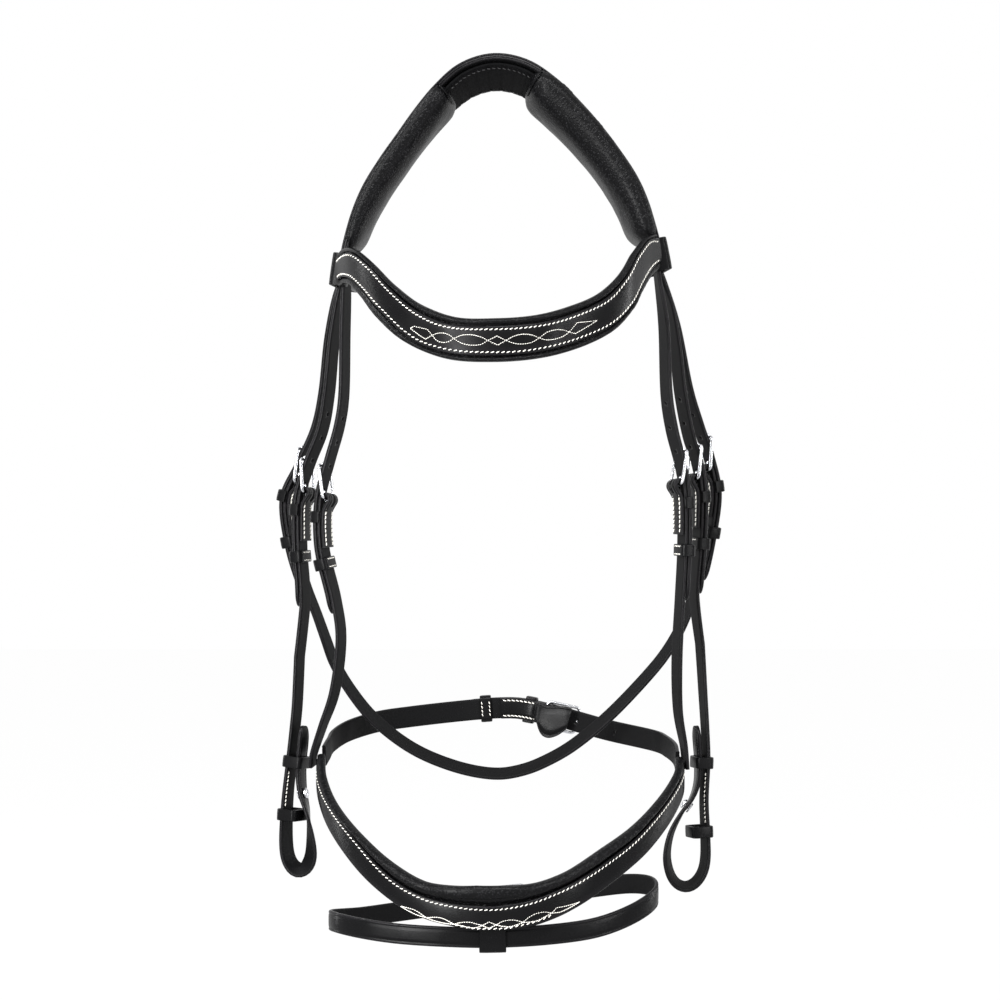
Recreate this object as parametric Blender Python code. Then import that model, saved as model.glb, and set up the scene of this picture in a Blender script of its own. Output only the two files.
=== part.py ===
"""An English horse bridle with a padded headpiece, a shaped browband and a noseband with a flash strap.

Metres, +Z up. The horse faces -Y, so its off side is at -X and its near side at +X. The origin is the
poll seat, the flat underside of the headpiece's lining, and everything hangs from there.

Straps follow guides: smooth lines through hand-chosen places of the front view. Layers of leather lie at
their own level from the guide, so buckles, keepers and folds all take their room from the same values.
"""

from dataclasses import dataclass
from math import cos, pi, radians, sin

import bmesh
import bpy
import numpy as np
from mathutils import Matrix, Vector

# Lengths along the guides: the three heels, the bit seat, the hook stud and the two bit keepers
OFF_LENGTHS = (0.143, 0.146, 0.138, 0.388, 0.450, 0.316, 0.350)
NEAR_LENGTHS = (0.145, 0.147, 0.141, 0.409, 0.477, 0.327, 0.371)

# Places of the front view are shares: thousandths of SPAN across, back, up, and a lean in degrees.
SPAN = 0.640
EYE_DISTANCE = 2.0
EYE_DROP = 0.278

# Clearances
GAP = 0.0003
LAYER_GAP = 0.0004
BAND_GAP = 0.0006
FOLD_ROOM = 0.0012
OVERRUN = 0.003

# Strap widths and leathers
CHEEK_WIDTH = 0.013
THROAT_WIDTH = 0.012
NOSE_STRAP_WIDTH = 0.013
JAW_WIDTH = 0.014
FLASH_WIDTH = 0.0125
BILLET_THICKNESS = 0.0026
STRAP_THICKNESS = 0.0024
TIP_LENGTH = 0.009
STATION_STEP = 0.010
LOOP_STEP = 0.006
GUIDE_REACH = 0.002
BIT_LOOP_RUN = 0.085

# Headpiece
CROWN_WIDTH = 0.042
CROWN_THICKNESS = 0.0045
LINING_WIDTH = 0.038
LINING_THICKNESS = 0.004
SEAT_LENGTH = 0.012
OFF_PAD_THICKNESS = 0.011
NEAR_PAD_THICKNESS = 0.014
PAD_WIDTH = 0.036

# Browband
BROWBAND_HEIGHT = 0.0266
BROWBAND_PADDING = 0.0072
BROWBAND_FACE = 0.0024
BROW_LOOP_HEIGHT = 0.021
BROW_LOOP_THICKNESS = 0.0022
BROW_LOOP_ROOM = 0.0012

# Noseband
NOSEPIECE_HEIGHT = 0.0266
NOSEPIECE_PADDING = 0.0084
NOSEPIECE_FACE = 0.0026
TAB_THICKNESS = 0.0016
TAB_LENGTH = 0.019
TAB_WIDTH = 0.020
FLASH_LOOP_WIDTH = 0.0165
FLASH_LOOP_ROOM = 0.0013

# Buckles
BAR_RADIUS = 0.0011
TONGUE_RADIUS = 0.0008
FRAME_LENGTH = 0.020
FRAME_CORNER = 0.0022
SIDE_ROOM = 0.0006
SLOT_WIDTH = 0.0028
SLOT_REACH = 0.0048
HOLE_RADIUS = 0.0019
HOLE_PITCH = 0.0155
HOLE_COUNT = 4
HOLE_ABOVE_BAR = 0.0055
TONGUE_HOLE_RADIUS = 0.0026
FOLD_LENGTH = 0.032

# Keepers
KEEPER_THICKNESS = 0.0016
KEEPER_WIDTH = 0.0075
FIXED_KEEPER_AT = 0.012
RUNNER_AT = 0.042
BILLET_PAST_BAR = 0.074
HOOK_KEEPER_REACH = 0.0095

# Jaw and flash straps
JAW_HEEL = 0.142
JAW_PAST_BAR = 0.058
FLASH_HEEL = 0.022
FLASH_PAST_BAR = 0.034

# Hook studs
STUD_BASE_RADIUS = 0.0036
STUD_BASE_HEIGHT = 0.0010
STUD_STEM_RADIUS = 0.0012
STUD_HEAD_RADIUS = 0.0034
STUD_HEAD_HEIGHT = 0.0022

CROWN_SHARES = (
    (-149, 0, -197, 8), (-146.2, 0, -181, 8), (-138, 0, -152, 8), (-127, 0, -126, 8), (-111, 0, -100, 8),
    (-94, 0, -76, 8), (-75, 0, -52, 11), (-55, 0, -31, 15), (-32, 0, -13, 18), (-4, 0, -5, 19),
    (25, 0, -10, 18), (51, 0, -26, 16), (72, 0, -45, 14), (93, 0, -67, 12), (112, 0, -90, 10),
    (130, 0, -116, 9), (141, 0, -140, 9), (148.5, 0, -166, 9), (151.5, 0, -181, 8),
)
OFF_LOOP_SHARES = ((-146.5, 0, -184, 8), (-153, 0, -230, 8))
NEAR_LOOP_SHARES = ((149.6, 0, -172, 8), (158.6, 0, -218, 8))
OFF_CHEEK_SHARES = (
    (-149.2, 0, -208, 8), (-152.4, 0, -232, 12), (-163, 0, -274, 20), (-171, 0, -327, 22), (-178, 0, -364, 22),
    (-189, 0, -399, 22), (-196, 0, -434, 22), (-198, 0, -482, 22), (-197, 0, -534, 22), (-200, 0, -626, 22),
    (-203, 0, -663, 22), (-207, 0, -700, 22), (-212, 0, -734, 22), (-214, 0, -769, 22), (-212, -1, -792, 20),
    (-206, -3, -805, 12), (-198, -6, -809, 0), (-190, -9, -805, -12), (-186, -11, -792, -20),
    (-187, -11, -770, -22), (-191, -9, -746, -22), (-196, -6, -724, -22), (-197, -4, -699, -22),
    (-195, -4, -678, -22), (-194, -4, -660, -22),
)
NEAR_CHEEK_SHARES = (
    (152, 0, -192, 8), (157.6, 0, -217, 12), (168, 0, -243, 18), (178, 0, -285, 22), (182, 0, -327, 22),
    (188, 0, -369, 22), (197, 0, -400, 22), (201, 0, -434, 22), (201, 0, -482, 22), (200, 0, -534, 20),
    (204, 0, -612, 14), (207, 0, -663, 8), (208, 0, -694, 4), (206, 0, -733, 0), (208, 0, -763, 0),
    (209, 0, -793, 0), (206, 0, -808, 0), (198, 0, -820, 0), (188, 0, -824, 0), (178, 0, -820, 0),
    (171, 0, -808, 0), (168, 0, -790, 0), (172, 0, -768, 0), (182, 0, -749, 0), (193, 0, -734, 0),
    (199, 0, -717, 0), (200, 0, -694, 0), (199, 0, -676, 0), (198, 0, -660, 0),
)
OFF_NOSE_SHARES = (
    (-152.6, -22, -206.2, 8), (-154, -24, -232, 10), (-155.5, -27, -269, 18), (-154, -32, -327, 22),
    (-158, -35, -360, 22), (-166, -37, -396, 22), (-174, -38, -434, 22), (-175, -38, -482, 22),
    (-168, -38, -534, 22), (-165, -37, -574, 22), (-170, -33, -624, 22), (-179, -28, -659, 16),
    (-188, -22, -686, 12), (-190, -20, -700, 10),
)
NEAR_NOSE_SHARES = (
    (156.7, -22, -190, 8), (160.3, -24, -217, 10), (166, -27, -262, 18), (168, -32, -327, 22),
    (172, -35, -364, 22), (179, -37, -398, 22), (184, -38, -434, 22), (185, -38, -482, 22),
    (184, -37, -534, 22), (183, -34, -594, 22), (184, -28, -644, 18), (190, -22, -680, 12),
    (192, -20, -702, 10),
)
THROAT_SHARES = (
    (150.3, 22, -193.2, 8), (156, 24, -217, 12), (172, 28, -262, 20), (191, 34, -322, 22),
    (201, 38, -359, 22),
    (211, 41, -392, 22), (219, 44, -428, 22), (217, 47, -471, 22), (207, 50, -514, 22), (191, 54, -552, 24),
    (174, 58, -580, 26), (152, 62, -604, 28), (114, 66, -643, 30), (78, 69, -674, 30), (47, 71, -692, 30),
    (20, 72, -704, 30), (-2, 72, -707, 30), (-37, 72, -701, 30), (-73, 71, -687, 30), (-102, 69, -671, 30),
    (-130, 66, -646, 30), (-152, 62, -620, 28), (-167, 58, -596, 26), (-176, 54, -574, 24),
    (-185, 51, -549, 22), (-196, 49, -520, 22), (-207, 47, -480, 22), (-210, 44, -434, 22),
    (-199, 41, -400, 22), (-184, 38, -364, 22), (-176, 34, -327, 22), (-167, 28, -274, 20),
    (-151.2, 24, -232, 12), (-147.4, 22, -208.9, 8),
)
BROWBAND_SHARES = (
    (-155.8, -40, -207, 0), (-151.5, -62, -204, 0), (-142.5, -88, -205, 0), (-129, -111, -215, 0),
    (-110.5, -131, -235, 0), (-84, -148, -257, 0), (-46, -165, -272, 0), (-2, -172, -275, 0),
    (40, -167, -271, 0), (76, -153, -259, 0), (106, -136, -243, 0), (128.5, -114, -221, 0),
    (143, -90, -205, 0), (153.6, -65, -195, 0), (161.6, -41.6, -190, 0),
)
NOSEPIECE_SHARES = (
    (-176, -24, -694, 0), (-174, -52, -720, 0), (-164, -84, -748, 0), (-144, -114, -777, 0),
    (-116, -138, -808, 0), (-80, -157, -831, 0), (-42, -168, -840, 0), (-2, -172, -842, 0),
    (36, -169, -838, 0), (72, -158, -824, 0), (106, -138, -800, 0), (136, -110, -773, 0),
    (160, -78, -744, 0), (174, -48, -718, 0), (179, -24, -698, 0),
)
JAW_SHARES = (
    (179.4, -15, -696, 0), (177, 6, -688, 0), (169, 34, -681, 0), (156, 64, -675, 0), (112, 112, -665, 0),
    (83, 130, -657, 0),
    (58, 139, -650, 0), (27, 147, -643, 0), (2, 148, -642, 0), (-38, 146, -645, 0), (-91, 127, -651, 0),
    (-124, 103, -656, 0), (-153, 67, -665, 0), (-169, 34, -675, 0), (-174, 6, -683, 0),
    (-178, -13, -690, 0),
)
FLASH_SHARES = (
    (30, -10, -832, 0), (-10, -9, -834, 0), (-60, -12, -840, 0), (-105, -24, -846, 0), (-140, -50, -851, 0),
    (-160, -82, -854, 0), (-156, -110, -858, 0), (-134, -134, -863, 0), (-100, -147, -868, 0),
    (-54, -157, -871, 0), (-5, -159.1, -872, 0), (50, -156, -869, 0), (98, -142, -862, 0),
    (134, -122, -848, 0), (153, -94, -833, 0), (152, -63, -822, 0), (132, -35, -818, 0),
    (95, -16, -822, 0), (60, -11, -828, 0),
)
FLASH_OVERLAP_ROWS = 4

# Half-width and half-thickness of the padded bands, as shares of the full ones, from end to middle.
BAND_PLACE_SHARES = (0.0, 0.06, 0.18, 0.34, 0.50, 0.66, 0.82, 0.94, 1.0)
BROWBAND_HEIGHT_SHARES = (0.66, 0.68, 0.84, 0.98, 1.0, 0.98, 0.84, 0.68, 0.66)
BROWBAND_DEPTH_SHARES = (0.60, 0.70, 0.90, 1.0, 1.0, 1.0, 0.90, 0.70, 0.60)
NOSEPIECE_HEIGHT_SHARES = (0.54, 0.60, 0.76, 0.93, 1.0, 0.93, 0.76, 0.60, 0.54)
NOSEPIECE_DEPTH_SHARES = (0.50, 0.62, 0.80, 0.92, 1.0, 0.92, 0.80, 0.62, 0.50)
FLOOR_SHARE = 0.1

# Cross-sections: shares of the half-width across and of the half-thickness out.
STRAP_PROFILE_SHARES = ((-1, -1), (1, -1), (1, 1), (-1, 1))
SOFT_PROFILE_SHARES = (
    (-1.0, -0.35), (-0.86, -0.78), (-0.5, -1.0), (0.5, -1.0), (0.86, -0.78), (1.0, -0.35),
    (1.0, 0.5), (0.9, 0.9), (0.7, 1.0), (-0.7, 1.0), (-0.9, 0.9), (-1.0, 0.5),
)
BROWBAND_PROFILE_SHARES = (
    (-1.0, -0.2), (-0.9, -0.75), (-0.6, -1.0), (0.6, -1.0), (0.9, -0.75), (1.0, -0.2), (0.97, 0.7),
    (0.87, 1.0), (0.77, 0.7), (0.74, FLOOR_SHARE), (-0.74, FLOOR_SHARE), (-0.77, 0.7), (-0.87, 1.0),
    (-0.97, 0.7),
)
NOSEPIECE_PROFILE_SHARES = (
    (-1.0, -0.3), (-0.9, -0.8), (-0.6, -1.0), (0.6, -1.0), (0.93, -0.6), (1.0, 0.2), (0.9, 1.0),
    (0.66, 1.35), (0.42, 1.1), (0.27, 0.5), (0.23, FLOOR_SHARE), (-0.96, FLOOR_SHARE),
)
BROWBAND_FACE_SHARES = (-0.70, 0.70)
NOSEPIECE_FACE_SHARES = (-0.94, 0.19)
OFF_PAD_SHARES = (0.045, 0.385)
LINING_SHARES = (0.405, 0.575)
NEAR_PAD_SHARES = (0.610, 0.955)
PAD_SWELL_SHARES = ((0.0, 0.45), (0.06, 0.8), (0.18, 1.0), (0.85, 1.0), (0.95, 0.8), (1.0, 0.5))

LEATHER = ((0.018, 0.017, 0.016), 0.42, 0.0)
SOFT_LEATHER = ((0.014, 0.013, 0.013), 0.58, 0.0)
STEEL = ((0.72, 0.72, 0.74), 0.18, 1.0)


@dataclass
class Place:
    """A point of a guide with its directions: along it, across the strap and out of the strap."""

    point: Vector
    along: Vector
    across: Vector
    out: Vector

    def shifted(self, along=0.0, across=0.0, out=0.0):
        """The point moved along the three directions."""
        return self.point + self.along * along + self.across * across + self.out * out


def sighted(row):
    """A place of the front view, moved along its sight line to its depth, with its lean."""
    across, back, up, lean = row
    share = SPAN / 1000
    depth = back * share
    spread = 1 + depth / EYE_DISTANCE
    height = (up * share + EYE_DROP) * spread - EYE_DROP
    return (across * share * spread, depth, height, radians(lean))


def smoothed(rows, steps=12):
    """A Catmull-Rom curve through rows of numbers."""
    knots = np.array(rows, dtype=float)
    first = 2 * knots[0] - knots[1]
    last = 2 * knots[-1] - knots[-2]
    padded = np.vstack([first, knots, last])
    t = np.linspace(0, 1, steps, endpoint=False)[:, None]
    pieces = []
    for a, b, c, d in zip(padded, padded[1:], padded[2:], padded[3:]):
        curve = 2 * b + (c - a) * t + (2 * a - 5 * b + 4 * c - d) * t**2 + (3 * b - a - 3 * c + d) * t**3
        pieces.append(curve / 2)
    return np.vstack(pieces + [knots[-1:]])


class Guide:
    """A smooth line that a strap follows, with the strap's directions at each length along it.

    base is the direction that the strap's width would have without its lean, and turn says on which side
    of the line its outer face lies.
    """

    def __init__(self, shares, base, turn, origin=Vector((0, 0, 0))):
        rows = smoothed([sighted(row) for row in shares])
        self.points = rows[:, :3] - np.array(origin)
        self.leans = rows[:, 3]
        steps = np.linalg.norm(np.diff(self.points, axis=0), axis=1)
        self.lengths = np.concatenate([[0.0], np.cumsum(steps)])
        self.length = self.lengths[-1]
        self.base = base
        self.turn = turn

    def point(self, length):
        """The point at a length along the line, run on straight past its ends."""
        inside = min(max(length, 0.0), self.length)
        point = Vector([np.interp(inside, self.lengths, self.points[:, axis]) for axis in range(3)])
        if inside == length:
            return point
        end = self.points[0] - self.points[1] if length < 0 else self.points[-1] - self.points[-2]
        return point + Vector(end).normalized() * abs(length - inside)

    def at(self, length):
        """The Place at a length along the line."""
        along = (self.point(length + GUIDE_REACH) - self.point(length - GUIDE_REACH)).normalized()
        lean = float(np.interp(length, self.lengths, self.leans))
        flank = along.cross(self.base).normalized() * self.turn
        across = self.base * cos(lean) - flank * sin(lean)
        across = (across - along * across.dot(along)).normalized()
        out = along.cross(across) * self.turn
        return Place(self.point(length), along, across, out)

    def stops(self, start, end, step=STATION_STEP):
        """Lengths from start to end, evenly spaced about a step apart."""
        count = max(2, round((end - start) / step) + 1)
        return [float(stop) for stop in np.linspace(start, end, count)]


@dataclass
class Band:
    """A padded band's sizes, how they run along it, and its cross-section."""

    height: float
    depth: float
    face: float
    height_shares: tuple
    depth_shares: tuple
    profile_shares: tuple
    face_shares: tuple


BROWBAND = Band(
    BROWBAND_HEIGHT, BROWBAND_PADDING, BROWBAND_FACE, BROWBAND_HEIGHT_SHARES, BROWBAND_DEPTH_SHARES,
    BROWBAND_PROFILE_SHARES, BROWBAND_FACE_SHARES,
)
NOSEPIECE = Band(
    NOSEPIECE_HEIGHT, NOSEPIECE_PADDING, NOSEPIECE_FACE, NOSEPIECE_HEIGHT_SHARES, NOSEPIECE_DEPTH_SHARES,
    NOSEPIECE_PROFILE_SHARES, NOSEPIECE_FACE_SHARES,
)


def poll_seat():
    """The middle of the flat underside of the headpiece's lining, before it becomes the origin."""
    guide = Guide(CROWN_SHARES, BACK, 1)
    below = CROWN_THICKNESS / 2 + LAYER_GAP + LINING_THICKNESS
    return guide.at(guide.length / 2).shifted(out=-below)


def new_object(name, data, finish, pivot, parent=None):
    """Put data whose places are in the world into an object whose origin is its pivot."""
    data.transform(Matrix.Translation(-pivot))
    item = bpy.data.objects.new(name, data)
    bpy.context.scene.collection.objects.link(item)
    item.location = pivot
    if parent:
        item.parent = parent
        item.location = pivot - parent.location
    if finish:
        item.data.materials.append(material(name, finish))
    return item


def material(name, finish):
    """A Principled material with a colour, a roughness and a metallic value."""
    colour, roughness, metallic = finish
    made = bpy.data.materials.new(name)
    made.use_nodes = True
    shader = made.node_tree.nodes["Principled BSDF"]
    shader.inputs["Base Color"].default_value = (*colour, 1)
    shader.inputs["Roughness"].default_value = roughness
    shader.inputs["Metallic"].default_value = metallic
    return made


def pivot_empty(name, pivot):
    """An empty at the joint of a moving body, which carries the body's pieces."""
    empty = bpy.data.objects.new(name, None)
    bpy.context.scene.collection.objects.link(empty)
    empty.location = pivot
    empty.empty_display_size = CHEEK_WIDTH
    return empty


def extruded(bm, ring, places):
    """Extrude a closed ring of vertices to new places, one for each vertex."""
    edges = [bm.edges.get(pair) for pair in zip(ring, ring[1:] + ring[:1])]
    made = bmesh.ops.extrude_edge_only(bm, edges=edges)["geom"]
    fresh = {item for item in made if isinstance(item, bmesh.types.BMVert)}
    following = []
    for vert, place in zip(ring, places):
        twin = next(edge.other_vert(vert) for edge in vert.link_edges if edge.other_vert(vert) in fresh)
        twin.co = place
        following.append(twin)
    return following


def ring_edges(bm, ring):
    """The edges of a closed ring of vertices."""
    return [bm.edges.get(pair) for pair in zip(ring, ring[1:] + ring[:1])]


def lofted(name, sections, closed=False):
    """A mesh through sections of equally many places, capped or closed on itself."""
    bm = bmesh.new()
    first = [bm.verts.new(place) for place in sections[0]]
    for pair in zip(first, first[1:] + first[:1]):
        bm.edges.new(pair)
    ring = first
    for places in sections[1:]:
        ring = extruded(bm, ring, places)
    if closed:
        bmesh.ops.bridge_loops(bm, edges=ring_edges(bm, first) + ring_edges(bm, ring))
    else:
        bm.faces.new(first)
        bm.faces.new(ring)
    bmesh.ops.recalc_face_normals(bm, faces=bm.faces)
    mesh = bpy.data.meshes.new(name)
    bm.to_mesh(mesh)
    bm.free()
    mesh.shade_smooth()
    mesh.set_sharp_from_angle(angle=radians(40))
    return mesh


def section(place, half_width, half_thickness, shares=STRAP_PROFILE_SHARES, level=0.0, shift=0.0):
    """The places of a cross-section at a Place of a guide."""
    return [
        place.shifted(across=shift + w * half_width, out=level + n * half_thickness) for w, n in shares
    ]


def path_places(guide, path):
    """Places along a path of (length, level) pairs beside a guide, for straps that fold back."""
    centres = [guide.at(length).shifted(out=level) for length, level in path]
    places = []
    for index, (length, _) in enumerate(path):
        before = centres[max(index - 1, 0)]
        after = centres[min(index + 1, len(centres) - 1)]
        along = (after - before).normalized()
        across = guide.at(length).across
        across = (across - along * across.dot(along)).normalized()
        places.append(Place(centres[index], along, across, along.cross(across) * guide.turn))
    return places


def tip_widths(lengths, end, full, tip=TIP_LENGTH):
    """Half-widths that keep the full one and run in to a blunt point at the end."""
    widths = []
    for length in lengths:
        left = min(abs(end - length) / tip, 1.0)
        widths.append(full * (0.35 + 0.65 * left**0.5))
    return widths


def hole_cutter(name, guide, lengths, radii):
    """Upright plugs through a strap, to be cut from it."""
    bm = bmesh.new()
    for length, radius in zip(lengths, radii):
        place = guide.at(length)
        turn = Matrix((place.along, place.across, place.out)).transposed().to_4x4()
        frame = Matrix.Translation(place.point) @ turn
        bmesh.ops.create_cone(
            bm, cap_ends=True, segments=8, radius1=radius, radius2=radius,
            depth=BILLET_THICKNESS + 2 * OVERRUN, matrix=frame,
        )
    bmesh.ops.recalc_face_normals(bm, faces=bm.faces)
    mesh = bpy.data.meshes.new(name)
    bm.to_mesh(mesh)
    bm.free()
    return guide_object(name, mesh)


def slot_cutter(name, guide, heel):
    """A box through the fold of a strap, where the tongue turns on the bar."""
    low, high = LEVELS.returning - STRAP_THICKNESS - OVERRUN, LEVELS.main + OVERRUN
    place = guide.at(heel)
    size = Vector((2 * SLOT_REACH, SLOT_WIDTH, high - low))
    turn = Matrix((place.along, place.across, place.out)).transposed().to_4x4()
    centre = Matrix.Translation(place.shifted(out=(low + high) / 2))
    bm = bmesh.new()
    bmesh.ops.create_cube(bm, size=1, matrix=centre @ turn @ Matrix.Diagonal((*size, 1)))
    bmesh.ops.recalc_face_normals(bm, faces=bm.faces)
    mesh = bpy.data.meshes.new(name)
    bm.to_mesh(mesh)
    bm.free()
    return guide_object(name, mesh)


def guide_object(name, mesh):
    """A cutter: in the scene for its modifier, and left out of the model."""
    cutter = bpy.data.objects.new(name, mesh)
    bpy.context.scene.collection.objects.link(cutter)
    cutter.hide_render = True
    cutter.display_type = "WIRE"
    return cutter


def cut(item, cutter):
    """Cut one object from another with a Boolean modifier."""
    modifier = item.modifiers.new(cutter.name, "BOOLEAN")
    modifier.operation = "DIFFERENCE"
    modifier.object = cutter


def wire(name, points, radius, closed, finish, pivot, parent):
    """A round bar along points, as a curve with a round bevel."""
    curve = bpy.data.curves.new(name, "CURVE")
    curve.dimensions = "3D"
    curve.bevel_depth = radius
    curve.bevel_resolution = 1
    curve.use_fill_caps = not closed
    line = curve.splines.new("POLY")
    line.points.add(len(points) - 1)
    for knot, point in zip(line.points, points):
        knot.co = (*point, 1)
    line.use_cyclic_u = closed
    return new_object(name, curve, finish, pivot, parent)


@dataclass
class Levels:
    """How far the layers at a buckle lie from the guide, which runs in the middle of the billet."""

    main: float = -(BILLET_THICKNESS / 2 + GAP + STRAP_THICKNESS / 2)
    fold_radius: float = BAR_RADIUS + BAND_GAP + STRAP_THICKNESS / 2

    @property
    def heel(self):
        """The bar that the strap is folded round."""
        return self.main - self.fold_radius

    @property
    def returning(self):
        """The strap's end, folded back under itself."""
        return self.main - STRAP_THICKNESS - LAYER_GAP

    @property
    def rest(self):
        """The frame's free end, over the billet."""
        return BILLET_THICKNESS / 2 + GAP + BAR_RADIUS

    @property
    def tongue_tip(self):
        """The tongue's tip, over the frame's free end."""
        return self.rest + BAR_RADIUS + GAP + TONGUE_RADIUS


LEVELS = Levels()
BACK = Vector((0, 1, 0))
UP = Vector((0, 0, 1))


def fold_path(heel):
    """The (length, level) path of a strap's end, from its folded-back tip round the bar to its face."""
    radius = LEVELS.fold_radius
    path = [
        (heel + FOLD_LENGTH, LEVELS.returning),
        (heel + FOLD_LENGTH / 2, LEVELS.returning),
        (heel + 3 * radius, LEVELS.returning),
        (heel + radius / 2, LEVELS.heel - radius),
    ]
    for degrees in (-65, -33, 0, 33, 65):
        angle = radians(degrees)
        path.append((heel - radius * cos(angle), LEVELS.heel + radius * sin(angle)))
    path.append((heel + radius / 4, LEVELS.main))
    return path


def billet_mesh(name, guide, heel, width):
    """A billet: round where it hangs from, punched, and run in to a tip below its buckle."""
    end = heel + BILLET_PAST_BAR
    half = width / 2
    stops = [-half * cos(radians(a)) for a in (0, 35, 65)] + guide.stops(0.0, end - TIP_LENGTH)
    stops += [end - TIP_LENGTH / 2, end - TIP_LENGTH / 8, end]
    sections = []
    for stop in stops:
        near_half = half
        if stop < 0:
            near_half = max((half**2 - stop**2) ** 0.5, half / 4)
        elif stop > end - TIP_LENGTH:
            near_half = tip_widths([stop], end, half)[0]
        sections.append(section(guide.at(stop), near_half, BILLET_THICKNESS / 2))
    return lofted(name, sections)


def punched(item, guide, heel):
    """Cut a billet's holes: the one that the tongue sits in and the spare ones above it."""
    tongue_hole = heel - HOLE_ABOVE_BAR
    lengths = [tongue_hole - count * HOLE_PITCH for count in range(HOLE_COUNT)]
    radii = [TONGUE_HOLE_RADIUS] + [HOLE_RADIUS] * (HOLE_COUNT - 1)
    cut(item, hole_cutter(item.name + "_holes", guide, lengths, radii))


def frame_points(guide, heel, width):
    """The buckle frame's middle line: a rectangle with round corners from the bar to the free end."""
    low = guide.at(heel)
    high = guide.at(heel - FRAME_LENGTH)
    foot = low.shifted(out=LEVELS.heel)
    head = high.shifted(out=LEVELS.rest)
    rise = (head - foot).normalized()
    across = (low.across - rise * low.across.dot(rise)).normalized()
    half = width / 2 + SIDE_ROOM + BAR_RADIUS
    length = (head - foot).length
    corners = ((-half, 0.0, 180), (-half, length, 90), (half, length, 0), (half, 0.0, -90))
    points = []
    for w, v, turned in corners:
        centre_w = w - FRAME_CORNER * (1 if w > 0 else -1)
        centre_v = v + FRAME_CORNER * (1 if v == 0 else -1)
        for degrees in (90, 60, 30, 0):
            angle = radians(turned + degrees)
            points.append(foot + across * (centre_w + FRAME_CORNER * cos(angle))
                          + rise * (centre_v + FRAME_CORNER * sin(angle)))
    return points


def tongue_points(guide, heel):
    """The tongue's middle line: an eye round the bar, through the billet and over the frame's end."""
    eye = BAR_RADIUS + GAP + TONGUE_RADIUS
    points = []
    for degrees in (-200, -160, -120, -80, -40, 0, 42):
        angle = radians(degrees)
        points.append(guide.at(heel).shifted(along=-eye * sin(angle), out=LEVELS.heel + eye * cos(angle)))
    through = HOLE_ABOVE_BAR
    clear = BILLET_THICKNESS / 2 + TONGUE_RADIUS
    tip = LEVELS.tongue_tip
    for length, level in (
        (through * 0.78, -clear), (through * 1.24, clear + GAP), (FRAME_LENGTH * 0.66, tip * 0.86),
        (FRAME_LENGTH, tip), (FRAME_LENGTH + 2 * BAR_RADIUS, tip - TONGUE_RADIUS / 2),
    ):
        points.append(guide.at(heel - length).shifted(out=level))
    return points


def keeper(name, guide, stop, width, low, high, pivot=None, parent=None, room=GAP, reach=KEEPER_WIDTH,
           thickness=KEEPER_THICKNESS, finish=LEATHER):
    """A leather loop round a strap's layers, between two levels."""
    place = guide.at(stop)
    half = width / 2 + room
    cut_corner = thickness / 2
    inner = ((-half, low), (half, low), (half, high), (-half, high))
    sections = []
    for index, (w, n) in enumerate(inner):
        side_w = 1 if w > 0 else -1
        side_n = 1 if index > 1 else -1
        outer_w, outer_n = w + side_w * thickness, n + side_n * thickness
        pair = [
            ((w, n), (outer_w - side_w * cut_corner, outer_n)),
            ((w, n), (outer_w, outer_n - side_n * cut_corner)),
        ]
        if index % 2 == 0:
            pair.reverse()
        sections.append((pair, side_w, side_n))
    rings = []
    for (first, second), side_w, side_n in sections:
        for (near_w, near_n), (far_w, far_n) in (first, second):
            near_w = near_w + (0 if far_w == near_w + side_w * thickness else -side_w * cut_corner / 2)
            rings.append([
                place.shifted(along=-reach / 2, across=near_w, out=near_n),
                place.shifted(along=-reach / 2, across=far_w, out=far_n),
                place.shifted(along=reach / 2, across=far_w, out=far_n),
                place.shifted(along=reach / 2, across=near_w, out=near_n),
            ])
    mesh = lofted(name, rings, closed=True)
    origin = place.shifted(out=(low + high) / 2) if pivot is None else pivot
    return new_object(name, mesh, finish, origin, parent)


def strap_keepers(side, guide, heel, width, pivot, parent, fixed=True):
    """A fixed keeper over the stitched fold and a runner below it."""
    top = BILLET_THICKNESS / 2 + GAP
    under_fold = LEVELS.returning - STRAP_THICKNESS / 2 - FOLD_ROOM
    under_strap = LEVELS.main - STRAP_THICKNESS / 2 - BAND_GAP
    if fixed:
        keeper(side + "_fixed_keeper", guide, heel + FIXED_KEEPER_AT, width, under_fold, top, pivot, parent)
    over_strap = BILLET_THICKNESS / 2 + BAND_GAP
    keeper(side + "_runner", guide, heel + RUNNER_AT, width, under_strap, over_strap, None, parent)


def buckle(side, guide, heel, width, parent):
    """A buckle frame and its tongue, both turning on the bar."""
    bar = guide.at(heel).shifted(out=LEVELS.heel)
    wire(side + "_buckle_frame", frame_points(guide, heel, width), BAR_RADIUS, True, STEEL, bar, parent)
    wire(side + "_buckle_tongue", tongue_points(guide, heel), TONGUE_RADIUS, False, STEEL, bar, parent)


def crown_stations(guide, start, end):
    """Places along the headpiece, straight and level across the poll seat."""
    middle = guide.length / 2
    seat = guide.at(middle)
    half = SEAT_LENGTH / 2
    places = []
    grid = guide.stops(0.0, middle - half, STATION_STEP * 1.2)
    grid += guide.stops(middle + half, guide.length, STATION_STEP * 1.2)
    for stop in grid:
        if start <= stop <= end:
            place = guide.at(stop)
            if abs(stop - middle) < half + GAP:
                point = seat.shifted(along=stop - middle)
                place = Place(point, seat.along, seat.across, seat.out)
            places.append((stop, place))
    return places


def pad_section(place, part, half_width, thickness):
    """A head pad's cross-section: swollen in its middle, and lying against the crown strap."""
    swell = float(np.interp(part, *zip(*PAD_SWELL_SHARES)))
    half = thickness * swell / 2
    level = -(CROWN_THICKNESS / 2 + LAYER_GAP + half)
    return section(place, half_width * (0.7 + 0.3 * swell), half, SOFT_PROFILE_SHARES, level)


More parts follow.
